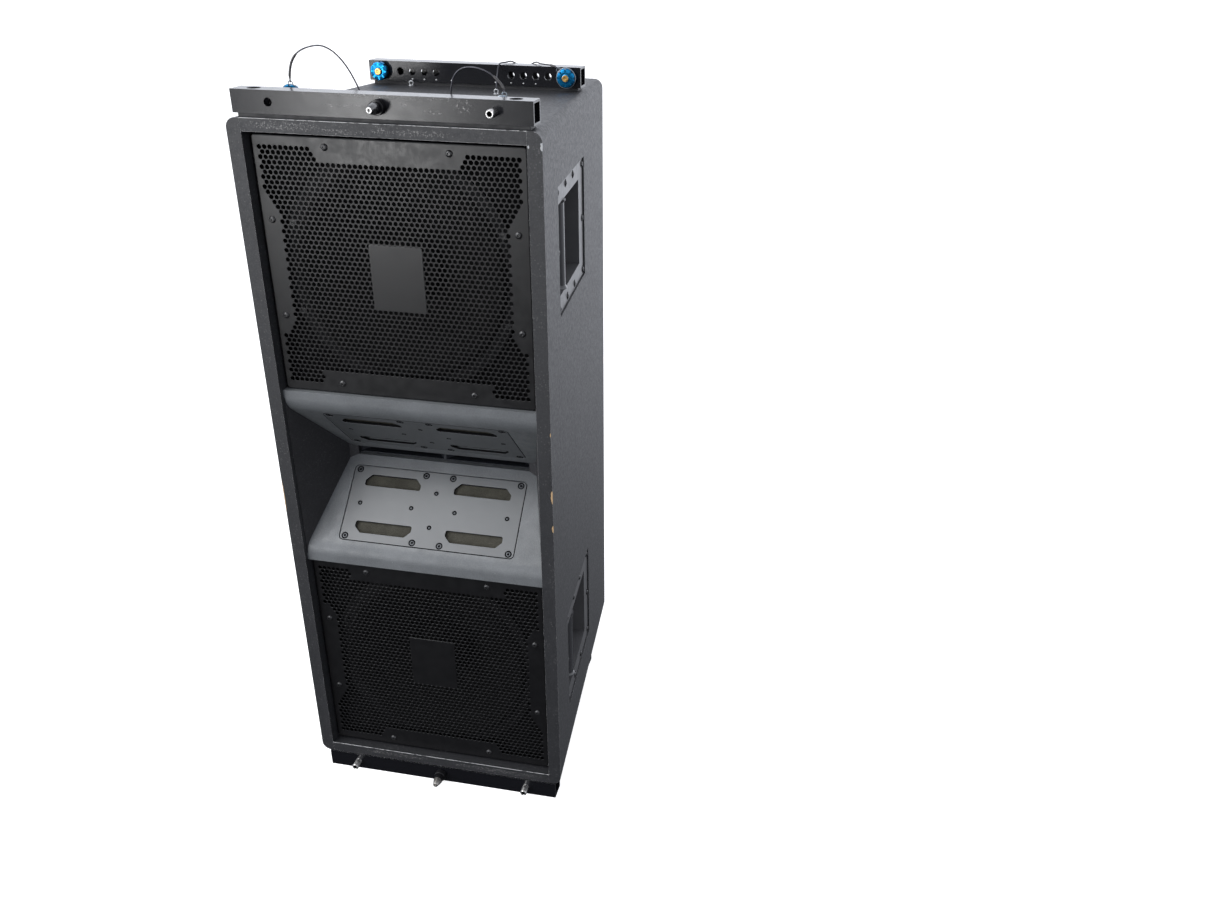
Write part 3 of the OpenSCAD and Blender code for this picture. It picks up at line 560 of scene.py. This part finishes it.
def refined(node, widths, looks=None, segments=3, paint=None, angle=30):
    """The CAD node's own shape with rounded edges. widths(middle, direction) is an edge's rounding in
    millimetres; paint(middle, normal) is a face's number in looks, whose second entry is for edges."""
    bm = bmesh.new()
    bm.from_mesh(NODES[node].data)
    bmesh.ops.remove_doubles(bm, verts=bm.verts, dist=0.005 * MM)
    bmesh.ops.dissolve_limit(bm, angle_limit=math.radians(0.4), verts=bm.verts, edges=bm.edges)
    weight = bm.edges.layers.float.new("bevel_weight_edge")
    found = []
    for edge in bm.edges:
        if len(edge.link_faces) == 2 and edge.calc_face_angle(0) > math.radians(25):
            a, b = ((v.co - ORIGIN) / MM for v in edge.verts)
            found.append((edge, widths((a + b) / 2, (b - a).normalized())))
    widest = max([w for _, w in found] or [1])
    for edge, width in found:
        edge[weight] = width / widest
    if paint:
        bm.normal_update()
        for face in bm.faces:
            middle = (face.calc_center_median() - ORIGIN) / MM
            face.material_index = paint(middle, face.normal)
    mesh = bpy.data.meshes.new(node + "_shape")
    bm.to_mesh(mesh)
    bm.free()
    looks = looks or [SLOT_OF[node]]
    mesh.materials.clear()
    for name in looks:
        mesh.materials.append(LOOKS[name])
    made = settle(node + "_shape", mesh, node, SLOT_OF[node], (node,), angle)
    bevel = made.modifiers.new("rounded", "BEVEL")
    bevel.limit_method = "WEIGHT"
    bevel.width = widest * MM
    bevel.segments = segments
    bevel.miter_outer = "MITER_ARC"
    if len(looks) > 1:
        bevel.material = 1
    flat = made.modifiers.new("flat_faces", "WEIGHTED_NORMAL")
    flat.keep_sharp = True
    return made

# ---------- cabinet ----------


def panel_edges(middle, along):
    if abs(along.y) > 0.9 and abs(middle.x) < HALF_W - 20 - middle.y * math.tan(SIDE_ANGLE):
        return 0.3
    return 2.4 if middle.y < 0.1 or middle.y > CAB_D - 0.1 else 1.2


def board_edges(middle, along):
    if abs(along.x) < 0.9:
        return 0
    return 2.0 if middle.y < 0.1 or middle.y > CAB_D - 0.1 else 0.4


for name in ("side_panel_left", "side_panel_right"):
    refined(name, panel_edges, ["cabinet_paint", "cabinet_edge"])
for name in ("end_board_top", "end_board_bottom"):
    refined(name, board_edges, ["cabinet_paint", "cabinet_edge"])
refined("back_panel", lambda middle, along: 1.0 if middle.y > CAB_D - 10 else 0, ["cabinet_paint"])
for name in ("horn_flare_upper", "horn_flare_lower"):
    refined(name, lambda middle, along: 1.6 if middle.y < 9 else 4 if middle.y > 130 else 0.5)
refined("horn_cheeks", lambda middle, along: 0.8, ["cheek_paint"])
refined("hf_waveguide", lambda middle, along: 0.6)

# ---------- slot plates and their foam ----------

plate_lo, plate_hi = cad("slot_plate_upper")
PLATE_T = 4
PLATE_X = plate_hi.x
PLATE_S0 = plate_lo.y * ROOT2
PLATE_S1 = plate_hi.y * ROOT2 - PLATE_T
PLATE_S = (PLATE_S0 + PLATE_S1) / 2
FLARE_H = plate_hi.z - MID_H + (PLATE_S0 - PLATE_T) / ROOT2
ON_FLARE = at(0, 0, MID_H + FLARE_H) @ Matrix.Rotation(math.radians(-45), 4, "X")
OUT_OF_FLARE = Matrix.Rotation(math.pi, 4, "X")
BIG_SCREWS = [(x, PLATE_S + s) for x in (-153, -25.5, 25.5, 153) for s in (-63, 63)]
SMALL_SCREWS = [(-139, PLATE_S), (-41, PLATE_S), (41, PLATE_S), (139, PLATE_S),
                (0, PLATE_S - 32), (0, PLATE_S + 32)]
SLOT_X, SLOT_S, SLOT_CORNER = (32, 138), (33.5, 55), 11


def slot_holes():
    (x0, x1), (s0, s1), c = SLOT_X, SLOT_S, SLOT_CORNER
    points = [(x0, s0), (x1, s0), (x1, s1 - c), (x1 - c, s1), (x0 + c, s1), (x0, s1 - c)]
    for a in (1, -1):
        for b in (1, -1):
            loop = [(a * x, PLATE_S + b * s) for x, s in points]
            yield rounded(loop if a * b > 0 else loop[::-1], 3.5)


PLATE_RIM = [(1.3, 0), (1.0, 0.15), (0.8, 0.6), (0.4, 1.6), (0, PLATE_T - 0.3), (0.3, PLATE_T)]
HOLE_RIM = [(-0.4, 0), (-0.1, 0.1), (0, 0.4), (0, PLATE_T)]
plate_shape = sheet(
    rounded(box_outline(-PLATE_X, PLATE_S0, PLATE_X, PLATE_S1), 8, 8),
    [*slot_holes(), *(ring(6.2, 32, p) for p in BIG_SCREWS), *(ring(4.1, 24, p) for p in SMALL_SCREWS)],
    PLATE_RIM, HOLE_RIM)
BIG_HEAD = turned([(0, -1), (6.1, -1), (6.1, 1.6), (4.1, 1.2), (4.1, 2.0), (3.8, 2.2), (2.7, 2.2),
                   (hexagon(4.2), 2.1), (hexagon(4.1), 0.2), (0, 0.2)], 36)
SMALL_HEAD = turned([(0, -1), (4, -1), (4, 1.5), (2.0, 1.2), (2.0, 1.8), (1.5, 2.1), (0, 2.2)], 36)


def plate_wall(face):
    """Look 1 below the rounded edge of the front face: the plate's edge and the walls of its slots and holes
    are painted shade black.
    """
    return int(min(plate_shape[0][v][2] for v in face) > 0.12)


def bands(first, last, segments=36):
    """Look 1 for the bands of a turned shape from the first to the last, and look 0 for the others."""
    return lambda face: int(first <= (max(face) - 1) // segments <= last)


# Look 1 of each plate is the painted shade black on its walls.
for end, flip in ENDS.items():
    node = "slot_plate_" + end
    Piece(node + "_face", node, ["slot_plate_paint", "painted_shade_black"]).add(
        plate_shape, flip @ ON_FLARE, plate_wall).finish([node], angle=15)

# Bands 3 to 6, the head itself, take screw_face; the ring round each head and its socket are painted shade
# black, standing for the dark gap round the head.
screws = Piece("slot_plate_screw_heads", "slot_plate_screws", ["painted_shade_black", "screw_face"])
for flip in ENDS.values():
    for spots, head, height in ((BIG_SCREWS, BIG_HEAD, 2.2), (SMALL_SCREWS, SMALL_HEAD, 1.9)):
        for n, (x, s) in enumerate(spots):
            turn = Matrix.Rotation(n * 0.7, 4, "Z")
            screws.add(head, flip @ ON_FLARE @ at(x, s, 0.2 + height) @ OUT_OF_FLARE @ turn, bands(3, 6))
screws.finish(["slot_plate_screws"])


def foam_pad(half_x, s0, s1, front, back, cell, crown, rng):
    """A foam slab: its front face is uneven and swells a little between its edges."""
    nx, ns = round(2 * half_x / cell), round((s1 - s0) / cell)
    verts, faces = [], []
    for j in range(ns + 1):
        for i in range(nx + 1):
            u, v = i / nx, j / ns
            swell = crown * min(1, 8 * u, 8 * (1 - u)) * min(1, 6 * v, 6 * (1 - v))
            verts.append((-half_x + 2 * half_x * u, s0 + (s1 - s0) * v,
                          front - swell + rng.uniform(-0.25, 0.25)))
    for j in range(ns):
        for i in range(nx):
            a = j * (nx + 1) + i
            faces.append((a, a + nx + 1, a + nx + 2, a + 1))
    edge = ([i for i in range(nx + 1)] + [(nx + 1) * j + nx for j in range(1, ns + 1)]
            + [(nx + 1) * ns + i for i in range(nx - 1, -1, -1)]
            + [(nx + 1) * j for j in range(ns - 1, 0, -1)])
    start = len(verts)
    verts += [(verts[v][0], verts[v][1], back) for v in edge]
    count = len(edge)
    faces += [(edge[k], edge[(k + 1) % count], start + (k + 1) % count, start + k) for k in range(count)]
    faces.append(tuple(range(start, start + count)))
    return verts, faces


foam_rng = random.Random(4)
WINDOW_X, WINDOW_S = 147, 55
pad = foam_pad(WINDOW_X, PLATE_S - WINDOW_S, PLATE_S + WINDOW_S, PLATE_T + 2.4, 9.8, 2.2, 0.4, foam_rng)
foam = Piece("slot_foam_pads", "slot_foams", ["foam"])
for flip in ENDS.values():
    foam.add(pad, flip @ ON_FLARE)
foam.finish(["slot_foams"], angle=80)

# ---------- grilles ----------

grille_lo, grille_hi = cad("grille_upper")
STAND = Matrix(((1, 0, 0, 0), (0, 0, 1, 0), (0, 1, 0, 0), (0, 0, 0, 1)))
PITCH, HOLE_R, SHEET_T = 8.7, 3.6, 1.3
GRILLE_Z = (grille_lo.z + grille_hi.z) / 2
FIELD_X, FIELD_LOW, FIELD_HIGH = 204.8, 788, 1172
BADGE = (43.5, 923.5, 1028.5)
GRILLE_SCREWS = [(s * x, z) for s in (-1, 1)
                 for x, z in ((98, 1173), (199, 1058.5), (199, 903), (114.3, 791))]
WEB = 3


def line(value, v0, r0, v1, r1):
    """The result at value on the line through two points, held level beyond them."""
    share = min(1, max(0, (value - v0) / (v1 - v0)))
    return r0 + (r1 - r0) * share


def is_solid(x, z):
    """True where the grille is left unperforated: round the screws and behind the badge."""
    x = abs(x)
    if x < BADGE[0] - HOLE_R - 0.4 and BADGE[1] + HOLE_R < z < BADGE[2] - HOLE_R:
        return True
    if z > 1155 - WEB and x < line(z, 1155, 112, 1177, 122) + WEB:
        return True
    if z < 807 + WEB and x < line(z, 789, 150, 807, 141) + WEB:
        return True
    side = line(z, 870, 205, 900, 188) if z < 985 else line(z, 1069, 188, 1104, 205)
    return x > side - WEB and 868 < z < 1106


def perforation():
    row_gap = PITCH * math.sqrt(3) / 2
    rows = int((FIELD_HIGH - FIELD_LOW) / row_gap / 2) + 1
    for j in range(-rows, rows + 1):
        z = GRILLE_Z + j * row_gap
        for i in range(-30, 31):
            x = (i + 0.5 * (j % 2)) * PITCH
            if abs(x) <= FIELD_X and FIELD_LOW <= z <= FIELD_HIGH and not is_solid(x, z):
                yield ring(HOLE_R, 12, (x, z), math.pi / 12)


FLANGE = grille_hi.y - grille_lo.y
TRAY_RIM = [(2.5, 0), (1.2, 0.35), (0.35, 1.2), (0, 2.5), (0, FLANGE), (SHEET_T, FLANGE),
            (SHEET_T, SHEET_T + 1.4), (2.5, SHEET_T)]
tray = sheet(rounded(box_outline(grille_lo.x, grille_lo.z, grille_hi.x, grille_hi.z), 6, 6),
             list(perforation()), TRAY_RIM, [(-0.28, 0), (0, 0.28), (0, SHEET_T)])
badge = sheet(rounded(box_outline(-BADGE[0], BADGE[1], BADGE[0], BADGE[2]), 1.5), [],
              [(0.3, 0), (0, 0.3), (0, 0.6)], [])
DOME_HEAD = turned([(0, 0), (5.5, 0), (5.5, 0.5), (5.2, 1.3), (4.5, 2.1), (3.5, 2.7), (2.6, 3),
                    (hexagon(3.6), 2.9), (hexagon(3.5), 1.2), (0, 1.2)], 36)
FORWARD = Matrix.Rotation(math.pi / 2, 4, "X")
heads = Piece("grille_screw_heads", "grille_screws", ["black_screw"])
for end, flip in ENDS.items():
    node = "grille_" + end
    front = flip @ at(0, grille_lo.y, 0) @ STAND
    Piece(node + "_tray", node, ["grille_paint"]).add(tray, front).add(
        badge, front @ at(0, 0, -0.4)).finish([node], angle=10)
    for n, (x, z) in enumerate(GRILLE_SCREWS):
        heads.add(DOME_HEAD, flip @ at(x, grille_lo.y, z) @ FORWARD @ Matrix.Rotation(n, 4, "Z"))
heads.finish(["grille_screws"])

# ---------- handles ----------

POCKET, HANDLE_PLATE = 6, 3
CUP_Y, CUP_Z = (123, 321), (932, 1081)
GRIP_X, GRIP_Y, GRIP_R = -11, 172, 9
Z_LOW, Z_HIGH = 912, 1101
HANDLE_SCREWS = [(y, z) for y in (123, 194, 265, 354) for z in (Z_LOW, Z_HIGH)]
HANDLE_SCREWS += [(CUP_Y[0] - 5.5, (Z_LOW + Z_HIGH) / 2), (354, (Z_LOW + Z_HIGH) / 2)]


def handle_face(middle, normal):
    """Look 0 for the frame round the opening, and look 2 for the cup behind it."""
    inner = on_side(1 if middle.x > 0 else -1).inverted() @ middle
    return 0 if inner.x > -POCKET - 0.1 else 2


refined("handle_cups", lambda middle, along: 0.7, ["handle_paint", "handle_paint", "cup_paint"],
        paint=handle_face)
GRIP = turned([(0, 0), (11.5, 0), (11.5, 2.5), (10.6, 4), (GRIP_R, 6), (GRIP_R, 143), (10.6, 145),
               (11.5, 146.5), (11.5, 149), (0, 149)], 40)
ROUND_HEAD = turned([(6.6, 0), (6.5, 0.25), (4.6, 0.25), (4.5, 0.9), (3.9, 1.9), (2.9, 2.4),
                     (hexagon(3.6), 2.3), (hexagon(3.4), 0.9), (0, 0.9)], 30)
# The first three rings of ROUND_HEAD make a flat disc round the head, painted shade black to stand for a dark
# recess round it.
HEAD_START = 3 * 30  # vertices of the black recess round a head
grips = Piece("handle_grip_bars", "handle_grips", ["grip_paint"])
heads = Piece("handle_screw_heads", "handle_screws", ["black_screw", "painted_shade_black"])
for flip in ENDS.values():
    for side in (-1, 1):
        place = flip @ on_side(side)
        grips.add(GRIP, place @ at(GRIP_X, GRIP_Y, CUP_Z[0]))
        for n, (y, z) in enumerate(HANDLE_SCREWS):
            heads.add(ROUND_HEAD, place @ at(HANDLE_PLATE - POCKET, y, z) @ ALONG_X
                      @ Matrix.Rotation(n, 4, "Z"), lambda f: int(max(f) < HEAD_START))
grips.finish(["handle_grips"])
heads.finish(["handle_screws"])

# ---------- rigging ----------

tube_lo, tube_hi = cad("tube_front_top")
rear_lo, rear_hi = cad("tube_rear_top")
TUBE_Z = (tube_lo.z + tube_hi.z) / 2


def tube_edges(lo, hi):
    """Rounded long corners, and nearly sharp holes and ends."""
    def widths(middle, along):
        near_corner = min(abs(middle.y - lo.y), abs(middle.y - hi.y)) < 0.1
        return 2.2 if abs(along.x) > 0.9 and near_corner else 0.45
    return widths


def tube_faces(middle, normal):
    """Look 2 for the sawn ends."""
    return 2 if abs(normal.x) > 0.9 and abs(middle.x) > 190 else 0


for name in ("tube_front_top", "tube_front_bottom", "tube_rear_top", "tube_rear_bottom"):
    # Rounded tube edges take the darker painted shade, except on the lower front tube, whose edges are rubbed
    # bare.
    edge = "tube_rubbed" if name == "tube_front_bottom" else "tube_edge_worn_and_shaded"
    refined(name, tube_edges(*cad(name)), ["tube_paint", edge, "tube_cut"], paint=tube_faces)
# The plates under the tubes are near black, which also paints the shade of their recess under the tubes.
refined("tube_plates", lambda middle, along: 0.7, ["plate_black"])
for name in ("link_front_top", "link_front_bottom", "link_rear_top", "link_rear_bottom"):
    refined(name, lambda middle, along: 0.9 if abs(along.x) > 0.9 else 0.5)

BOLT_HEAD = turned([(0, 0), (6.5, 0), (6.5, 3.4), (6.0, 4), (4.5, 4), (hexagon(6.0), 3.9),
                    (hexagon(5.9), 1.2), (0, 1.2)], 36)
EDGE_HEAD = turned([(0, 0), (2.5, 0), (2.5, 2.3), (2.1, 3), (1.6, 3), (hexagon(2.2), 2.9),
                    (hexagon(2.1), 1.2), (0, 1.2)], 30)
FRONT_BOLTS, REAR_BOLTS, EDGE_BOLTS = (-140, -90, -35, 30), (-150, -100, -35, -5), (-118, 0, 152)
TUBE_WALL, PLATE_BACK = 3.5, 4
bolts = Piece("tube_bolt_heads", "tube_bolts", ["bolt_steel"])
marks = Piece("tube_rear_rivets", "tube_rear_top", ["bolt_steel"])
RIVET = turned([(0, 0), (1.6, 0), (1.3, 0.5), (0.7, 0.8), (0, 0.9)], 20)
for flip in ENDS.values():
    for xs, lo, hi in ((FRONT_BOLTS, tube_lo, tube_hi), (REAR_BOLTS, rear_lo, rear_hi)):
        for x in xs:
            bolts.add(BOLT_HEAD, flip @ at(x, (lo.y + hi.y) / 2, lo.z + TUBE_WALL))
    for x in (41, 70, 92.5, 115):
        for side in (-1, 1):
            marks.add(RIVET, flip @ at(side * x, rear_lo.y, rear_lo.z + 4) @ FORWARD)
for x in EDGE_BOLTS:
    bolts.add(EDGE_HEAD, FLIP @ at(x, tube_lo.y + PLATE_BACK, (CAB_H + tube_lo.z + 1) / 2) @ FORWARD)
bolts.finish(["tube_bolts"])
marks.finish()

STUD = turned([(0, -2), (10.6, 0), (11, 0.4), (11, 9.4), (10.4, 10), (6.5, 10), (6.5, 13), (8.1, 13),
               (8.5, 13.4), (8.5, 20), (5.1, 31.4), (4.2, 33), (2.2, 33), (1.6, 31.4), (0, 31)], 48)
NOSE = 1 + 48 * 8  # first vertex of the worn nose
studs = Piece("dolly_stud_turnings", "dolly_studs", ["stud_steel", "stud_nose", "stud_worn"])
for number, flip in enumerate(ENDS.values(), 1):
    studs.add(STUD, flip @ at(0, tube_lo.y, TUBE_Z) @ FORWARD,
              lambda f: number if min(f) >= NOSE else 0)
studs.finish(["dolly_studs"])

# ---------- locking pins ----------

SHANK_L, SHANK_R, HEAD_R, HEAD_T = 53, 6.35, 15.75, 14.7
BUTTON_R, BUTTON_L, BUTTON_OUT = 5.7, 9, 3
BORE_END = 2.7  # below a fully pressed button
SCALLOP_R, SCALLOP_OFF = 3, 17.35


def scalloped(radius):
    """Radius of a round head with eight finger scallops in its rim."""
    def at_angle(angle):
        off = (angle + math.pi / 8) % (math.pi / 4) - math.pi / 8
        across = SCALLOP_OFF * math.sin(off)
        if abs(across) >= SCALLOP_R:
            return radius
        return min(radius, SCALLOP_OFF * math.cos(off) - math.sqrt(SCALLOP_R ** 2 - across ** 2))
    return at_angle


SHANK = turned([(0, -40), (3.7, -40), (3.7, -SHANK_L + 0.5), (4.1, -SHANK_L), (5.4, -SHANK_L),
                (SHANK_R, -SHANK_L + 1.4), (SHANK_R, -0.2), (10.4, 0), (11, 0.5), (11, 3.9), (6.05, 3.9),
                (6.05, BORE_END - 0.3), (0, BORE_END - 0.3)], 48)
HEAD = turned([(0, BORE_END - 0.25), (6, BORE_END - 0.25), (6, 3.95), (scalloped(14.6), 3.95),
               (scalloped(HEAD_R), 5), (scalloped(HEAD_R), 13), (scalloped(15), 14.2),
               (scalloped(14.2), HEAD_T), (8.2, HEAD_T), (7.6, HEAD_T - 0.8), (6.6, HEAD_T - 0.8),
               (BUTTON_R + 0.15, HEAD_T - 0.4), (BUTTON_R + 0.15, BORE_END), (0, BORE_END)], 192)
BUTTON = turned([(0, HEAD_T - BUTTON_L), (BUTTON_R, HEAD_T - BUTTON_L), (BUTTON_R, HEAD_T + BUTTON_OUT - 0.7),
                 (BUTTON_R - 0.7, HEAD_T + BUTTON_OUT), (2.6, HEAD_T + BUTTON_OUT), (2.0, HEAD_T + 2.4),
                 (2.0, HEAD_T + 1.5), (0, HEAD_T + 1.2)], 48)


def pin_place(node):
    """Matrix from a pin's own frame, with its head along +Z, to its place in the cabinet."""
    lo, hi = cad(node)
    x, z = (lo.x + hi.x) / 2, (lo.z + hi.z) / 2
    if "_front_" in node:
        return at(x, lo.y + SHANK_L, z) @ ALONG_Y
    return at(x, hi.y - SHANK_L, z) @ FORWARD


for node in [n for n in NODES if n.startswith("pin_")]:
    place = pin_place(node)
    # Bands 0 and 1 of the shank, the bore in its tip, are painted shade black.
    Piece(node + "_turning", node, ["pin_steel", "painted_shade_black", "pin_blue"]).add(
        SHANK, place, bands(0, 1, 48)).add(HEAD, place, 2).finish([node])
    button = node.replace("pin_", "button_")
    Piece(button + "_turning", button, ["button_brass"]).add(BUTTON, place).finish([button])

# ---------- lanyards ----------

WIRE_D = 2.4
ROUTES = {
    "front_left": [(-172, 76, 1255), (-171, 76, 1269), (-166, 77, 1285), (-155, 77, 1298),
                   (-138, 77, 1306), (-118, 77, 1309), (-102, 77, 1304), (-88, 77, 1293),
                   (-75, 76, 1277), (-64, 75, 1257), (-55, 75, 1236), (-48, 75, 1223)],
    "front_right": [(176, 48, 1255), (173, 49, 1265), (163, 50, 1276), (148, 51, 1285),
                    (131, 53, 1289), (115, 55, 1288), (103, 57, 1282), (95, 58, 1271),
                    (91, 59, 1255), (89, 60, 1237), (87, 60, 1223)],
    "rear_right": [(159, 402, 1250), (154, 403, 1254), (144, 408, 1256), (131, 417, 1256),
                   (119, 430, 1255.5), (110, 443, 1256), (102, 450, 1254.5), (92, 452, 1250),
                   (80, 452, 1250), (69, 450, 1252), (61, 444, 1256), (55, 430, 1255.5),
                   (51, 414, 1255.5), (50, 403, 1250), (53, 388, 1242), (58, 368, 1235),
                   (63, 350, 1228), (66, 339, 1223)],
}
EYES = [(-48, 75), (87, 60), (66, 339), (-114, 402)]
EYE_Z = 4.8
SLEEVE_R = 1.9
SLEEVE_AT = {"front_left": (7, 17), "front_right": (7, 17), "rear_right": (25, 35)}
PIN_SLEEVE = {"front_left": 46, "front_right": 30, "rear_right": 20}


def smooth(points, steps):
    """Catmull-Rom curve through the points."""
    points = [Vector(p) for p in points]
    made = []
    for i in range(len(points) - 1):
        a, b = points[max(0, i - 1)], points[i]
        c, d = points[i + 1], points[min(len(points) - 1, i + 2)]
        for k in range(steps):
            t = k / steps
            made.append(0.5 * (2 * b + (c - a) * t + (2 * a - 5 * b + 4 * c - d) * t * t
                               + (3 * b - a - 3 * c + d) * t ** 3))
    return made + [points[-1]]


def rope_section(share, length):
    """Six strands laid round each other, one turn every lay millimetres."""
    lay, radius, count = 9.0, WIRE_D / 2, 24
    made = []
    for k in range(count):
        angle = math.tau * k / count
        r = radius * (0.84 + 0.16 * abs(math.cos(3 * (angle - math.tau * length / lay))))
        made.append((r * math.cos(angle), r * math.sin(angle)))
    return made


def round_section(radius, count=16):
    points = ring(radius, count)
    return lambda share, length: points


def along_path(path, start, stop):
    """A sleeve round part of a path, between two lengths from its start, with rounded ends."""
    kept, length = [], 0.0
    for a, b in zip(path, path[1:]):
        if start <= length <= stop:
            kept.append(a)
        length += (b - a).length
    points = ring(1, 20)

    def section(share, _):
        r = SLEEVE_R * (1 - 0.25 * max(0, abs(2 * share - 1) - 0.8) / 0.2)
        return [(r * x, r * y) for x, y in points]
    return swept(section, kept)


def torus(major, minor, place, count=40):
    path = [place @ Vector((x, y, 0)) for x, y in ring(major, count)]
    return swept(round_section(minor, 12), path, closed=True)


for name, route in ROUTES.items():
    node, pin = "lanyard_" + name, "pin_" + name + "_top"
    path = smooth(route[::-1], 12)
    length = sum((b - a).length for a, b in zip(path, path[1:]))
    piece = Piece(node + "_wire", node, ["wire_steel"]).add(swept(rope_section, path))
    wire = piece.finish([node], angle=60, body="blend")
    ends = [path[0] * MM + ORIGIN, path[-1] * MM + ORIGIN]
    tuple(ends[0])
    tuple(ends[1])
    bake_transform(wire)
    lower = Piece(node + "_sleeve_eye", node, ["ferrule"]).add(
        along_path(path, *SLEEVE_AT[name])).finish(body="root")
    upper = Piece(node + "_sleeve_pin", node, ["shrink_sleeve", "ring_steel"])
    upper.add(along_path(path, length - PIN_SLEEVE[name], length - 6))
    head = pin_place(pin)
    ring_z = (head.inverted() @ path[-1]).z
    upper.add(torus(HEAD_R + 0.9, 0.9, head @ at(0, 0, ring_z), 64), look=1)
    middle = head @ Vector((0, 0, ring_z))
    out = (path[-1] - middle).normalized()
    reach = ((path[-1] - middle).length + HEAD_R) / 2 + 0.9
    across = Matrix.Translation(middle + out * reach) @ out.to_track_quat("X", "Z").to_matrix().to_4x4()
    upper.add(torus(3.4, 0.75, across @ Matrix.Rotation(math.pi / 2, 4, "X"), 28), look=1)
    upper = upper.finish(body=BODY_OF[pin])
    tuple(ends[0])

eyes = Piece("lanyard_eye_rings", "lanyard_eyes", ["ferrule"])
EYE_BASE = turned([(0, 0), (5, 0), (5, 1.2), (4.4, 1.9), (3, 2.2), (0, 2.2)], 32)
for x, y in EYES:
    eyes.add(EYE_BASE, at(x, y, CAB_H))
    eyes.add(torus(3.6, 1, at(x, y, CAB_H + EYE_Z) @ ALONG_Y, 32))
eyes.finish(["lanyard_eyes"])

# ---------- back ----------

refined("input_panel", lambda middle, along: 0.4)
refined("input_connectors", lambda middle, along: 0.8)

for name, node in NODES.items():
    if not node.hide_render:
        node.data.materials.clear()
        node.data.materials.append(LOOKS[SLOT_OF[name]])

# ---------- floor, light and camera ----------


def glow(name, place, aim, size, power):
    """A rectangular light at place, turned towards aim."""
    light = bpy.data.lights.new(name, "AREA")
    light.shape, light.size, light.size_y = "RECTANGLE", *size
    light.energy = power
    made = bpy.data.objects.new(name, light)
    made.location = place
    made.rotation_euler = (Vector(aim) - Vector(place)).to_track_quat("-Z", "Y").to_euler()
    bpy.context.scene.collection.objects.link(made)


glow("doorway", (-1.85, -4.2, 0.7), (0, 0, 1.2), (0.5, 1.0), 33)
glow("overhead", (-1.6, -1.5, 3.2), (0, 0, 0.9), (2.0, 1.6), 66)
glow("left", (-3.0, -1.4, 1.9), (0, 0, 0.9), (1.2, 1.6), 18)

floor_mesh = bpy.data.meshes.new("floor")
floor_mesh.from_pydata([(-30, -30, 0), (30, -30, 0), (30, 30, 0), (-30, 30, 0)], [], [(0, 1, 2, 3)])
floor = bpy.data.objects.new("floor", floor_mesh)
bpy.context.scene.collection.objects.link(floor)
pale = Look("pale_floor", (0.8, 0.8, 0.8), 0.9)
pale.put(pale.shader.inputs["Emission Color"], (1, 1, 1))
pale.put(pale.shader.inputs["Emission Strength"], 0.75)
floor_mesh.materials.append(pale.material)
floor.visible_glossy = floor.visible_diffuse = False
floor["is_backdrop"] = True

# A dim floor, a bright horizon that is brightest behind and on the left, and a darker ceiling.
world = bpy.data.worlds.new("studio")
world.use_nodes = True
tree = world.node_tree
direction = tree.nodes.new("ShaderNodeSeparateXYZ")
tree.links.new(tree.nodes.new("ShaderNodeTexCoord").outputs["Generated"], direction.inputs["Vector"])


def leaning(axis, share):
    """A direction's named component plus a share of its Y."""
    made = tree.nodes.new("ShaderNodeMath")
    made.operation = "MULTIPLY_ADD"
    tree.links.new(direction.outputs["Y"], made.inputs[0])
    made.inputs[1].default_value = share
    tree.links.new(direction.outputs[axis], made.inputs[2])
    return made.outputs["Value"]


axes = {"up": direction.outputs["Z"], "back": direction.outputs["Y"],
        "up_back": leaning("Z", 0.15), "front_left": leaning("X", 0.5)}
strength = None
for axis, low, high, to_low, to_high in (
        ("up_back", -0.47, 0.04, 0.06, 1.0), ("up", 0.3, 0.75, 1.0, 0.65),
        ("front_left", -0.96, -0.7, 1.9, 1.0), ("back", 0.4, 0.85, 1.0, 1.75)):
    ramp = tree.nodes.new("ShaderNodeMapRange")
    ramp.interpolation_type = "SMOOTHSTEP"
    tree.links.new(axes[axis], ramp.inputs["Value"])
    for name, number in (("From Min", low), ("From Max", high), ("To Min", to_low), ("To Max", to_high)):
        ramp.inputs[name].default_value = number
    if strength:
        product = tree.nodes.new("ShaderNodeMath")
        product.operation = "MULTIPLY"
        tree.links.new(strength, product.inputs[0])
        tree.links.new(ramp.outputs["Result"], product.inputs[1])
        strength = product.outputs["Value"]
    else:
        strength = ramp.outputs["Result"]
tree.links.new(strength, tree.nodes["Background"].inputs["Strength"])
tree.nodes["Background"].inputs["Color"].default_value = (0.94, 0.97, 1.05, 1)
bpy.context.scene.world = world
bpy.context.scene.view_settings.view_transform = "Standard"

CAMERA_AT = ORIGIN + Vector((0.6789, -1.48437, 1.46991))
YAW, PITCH_DOWN, ROLL = math.radians(-10.78), math.radians(26.56), math.radians(0.84)
lens = bpy.data.cameras.new("camera")
lens.sensor_width = 36
lens.lens = 31.4392
lens.shift_x, lens.shift_y = -0.0298188, 0.0027183
camera = bpy.data.objects.new("camera", lens)
ahead = Vector((math.sin(YAW) * math.cos(PITCH_DOWN), math.cos(YAW) * math.cos(PITCH_DOWN),
                -math.sin(PITCH_DOWN)))
right = Vector((math.cos(YAW), -math.sin(YAW), 0))
up = right.cross(ahead)
tilted = right * math.cos(ROLL) + up * math.sin(ROLL)
upright = up * math.cos(ROLL) - right * math.sin(ROLL)
camera.matrix_world = Matrix((tilted, upright, -ahead)).transposed().to_4x4()
camera.location = CAMERA_AT
bpy.context.scene.collection.objects.link(camera)
bpy.context.scene.camera = camera

visual_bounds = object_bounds()
[[list(corner) for corner in pair] for pair in (cad_bounds, visual_bounds)]
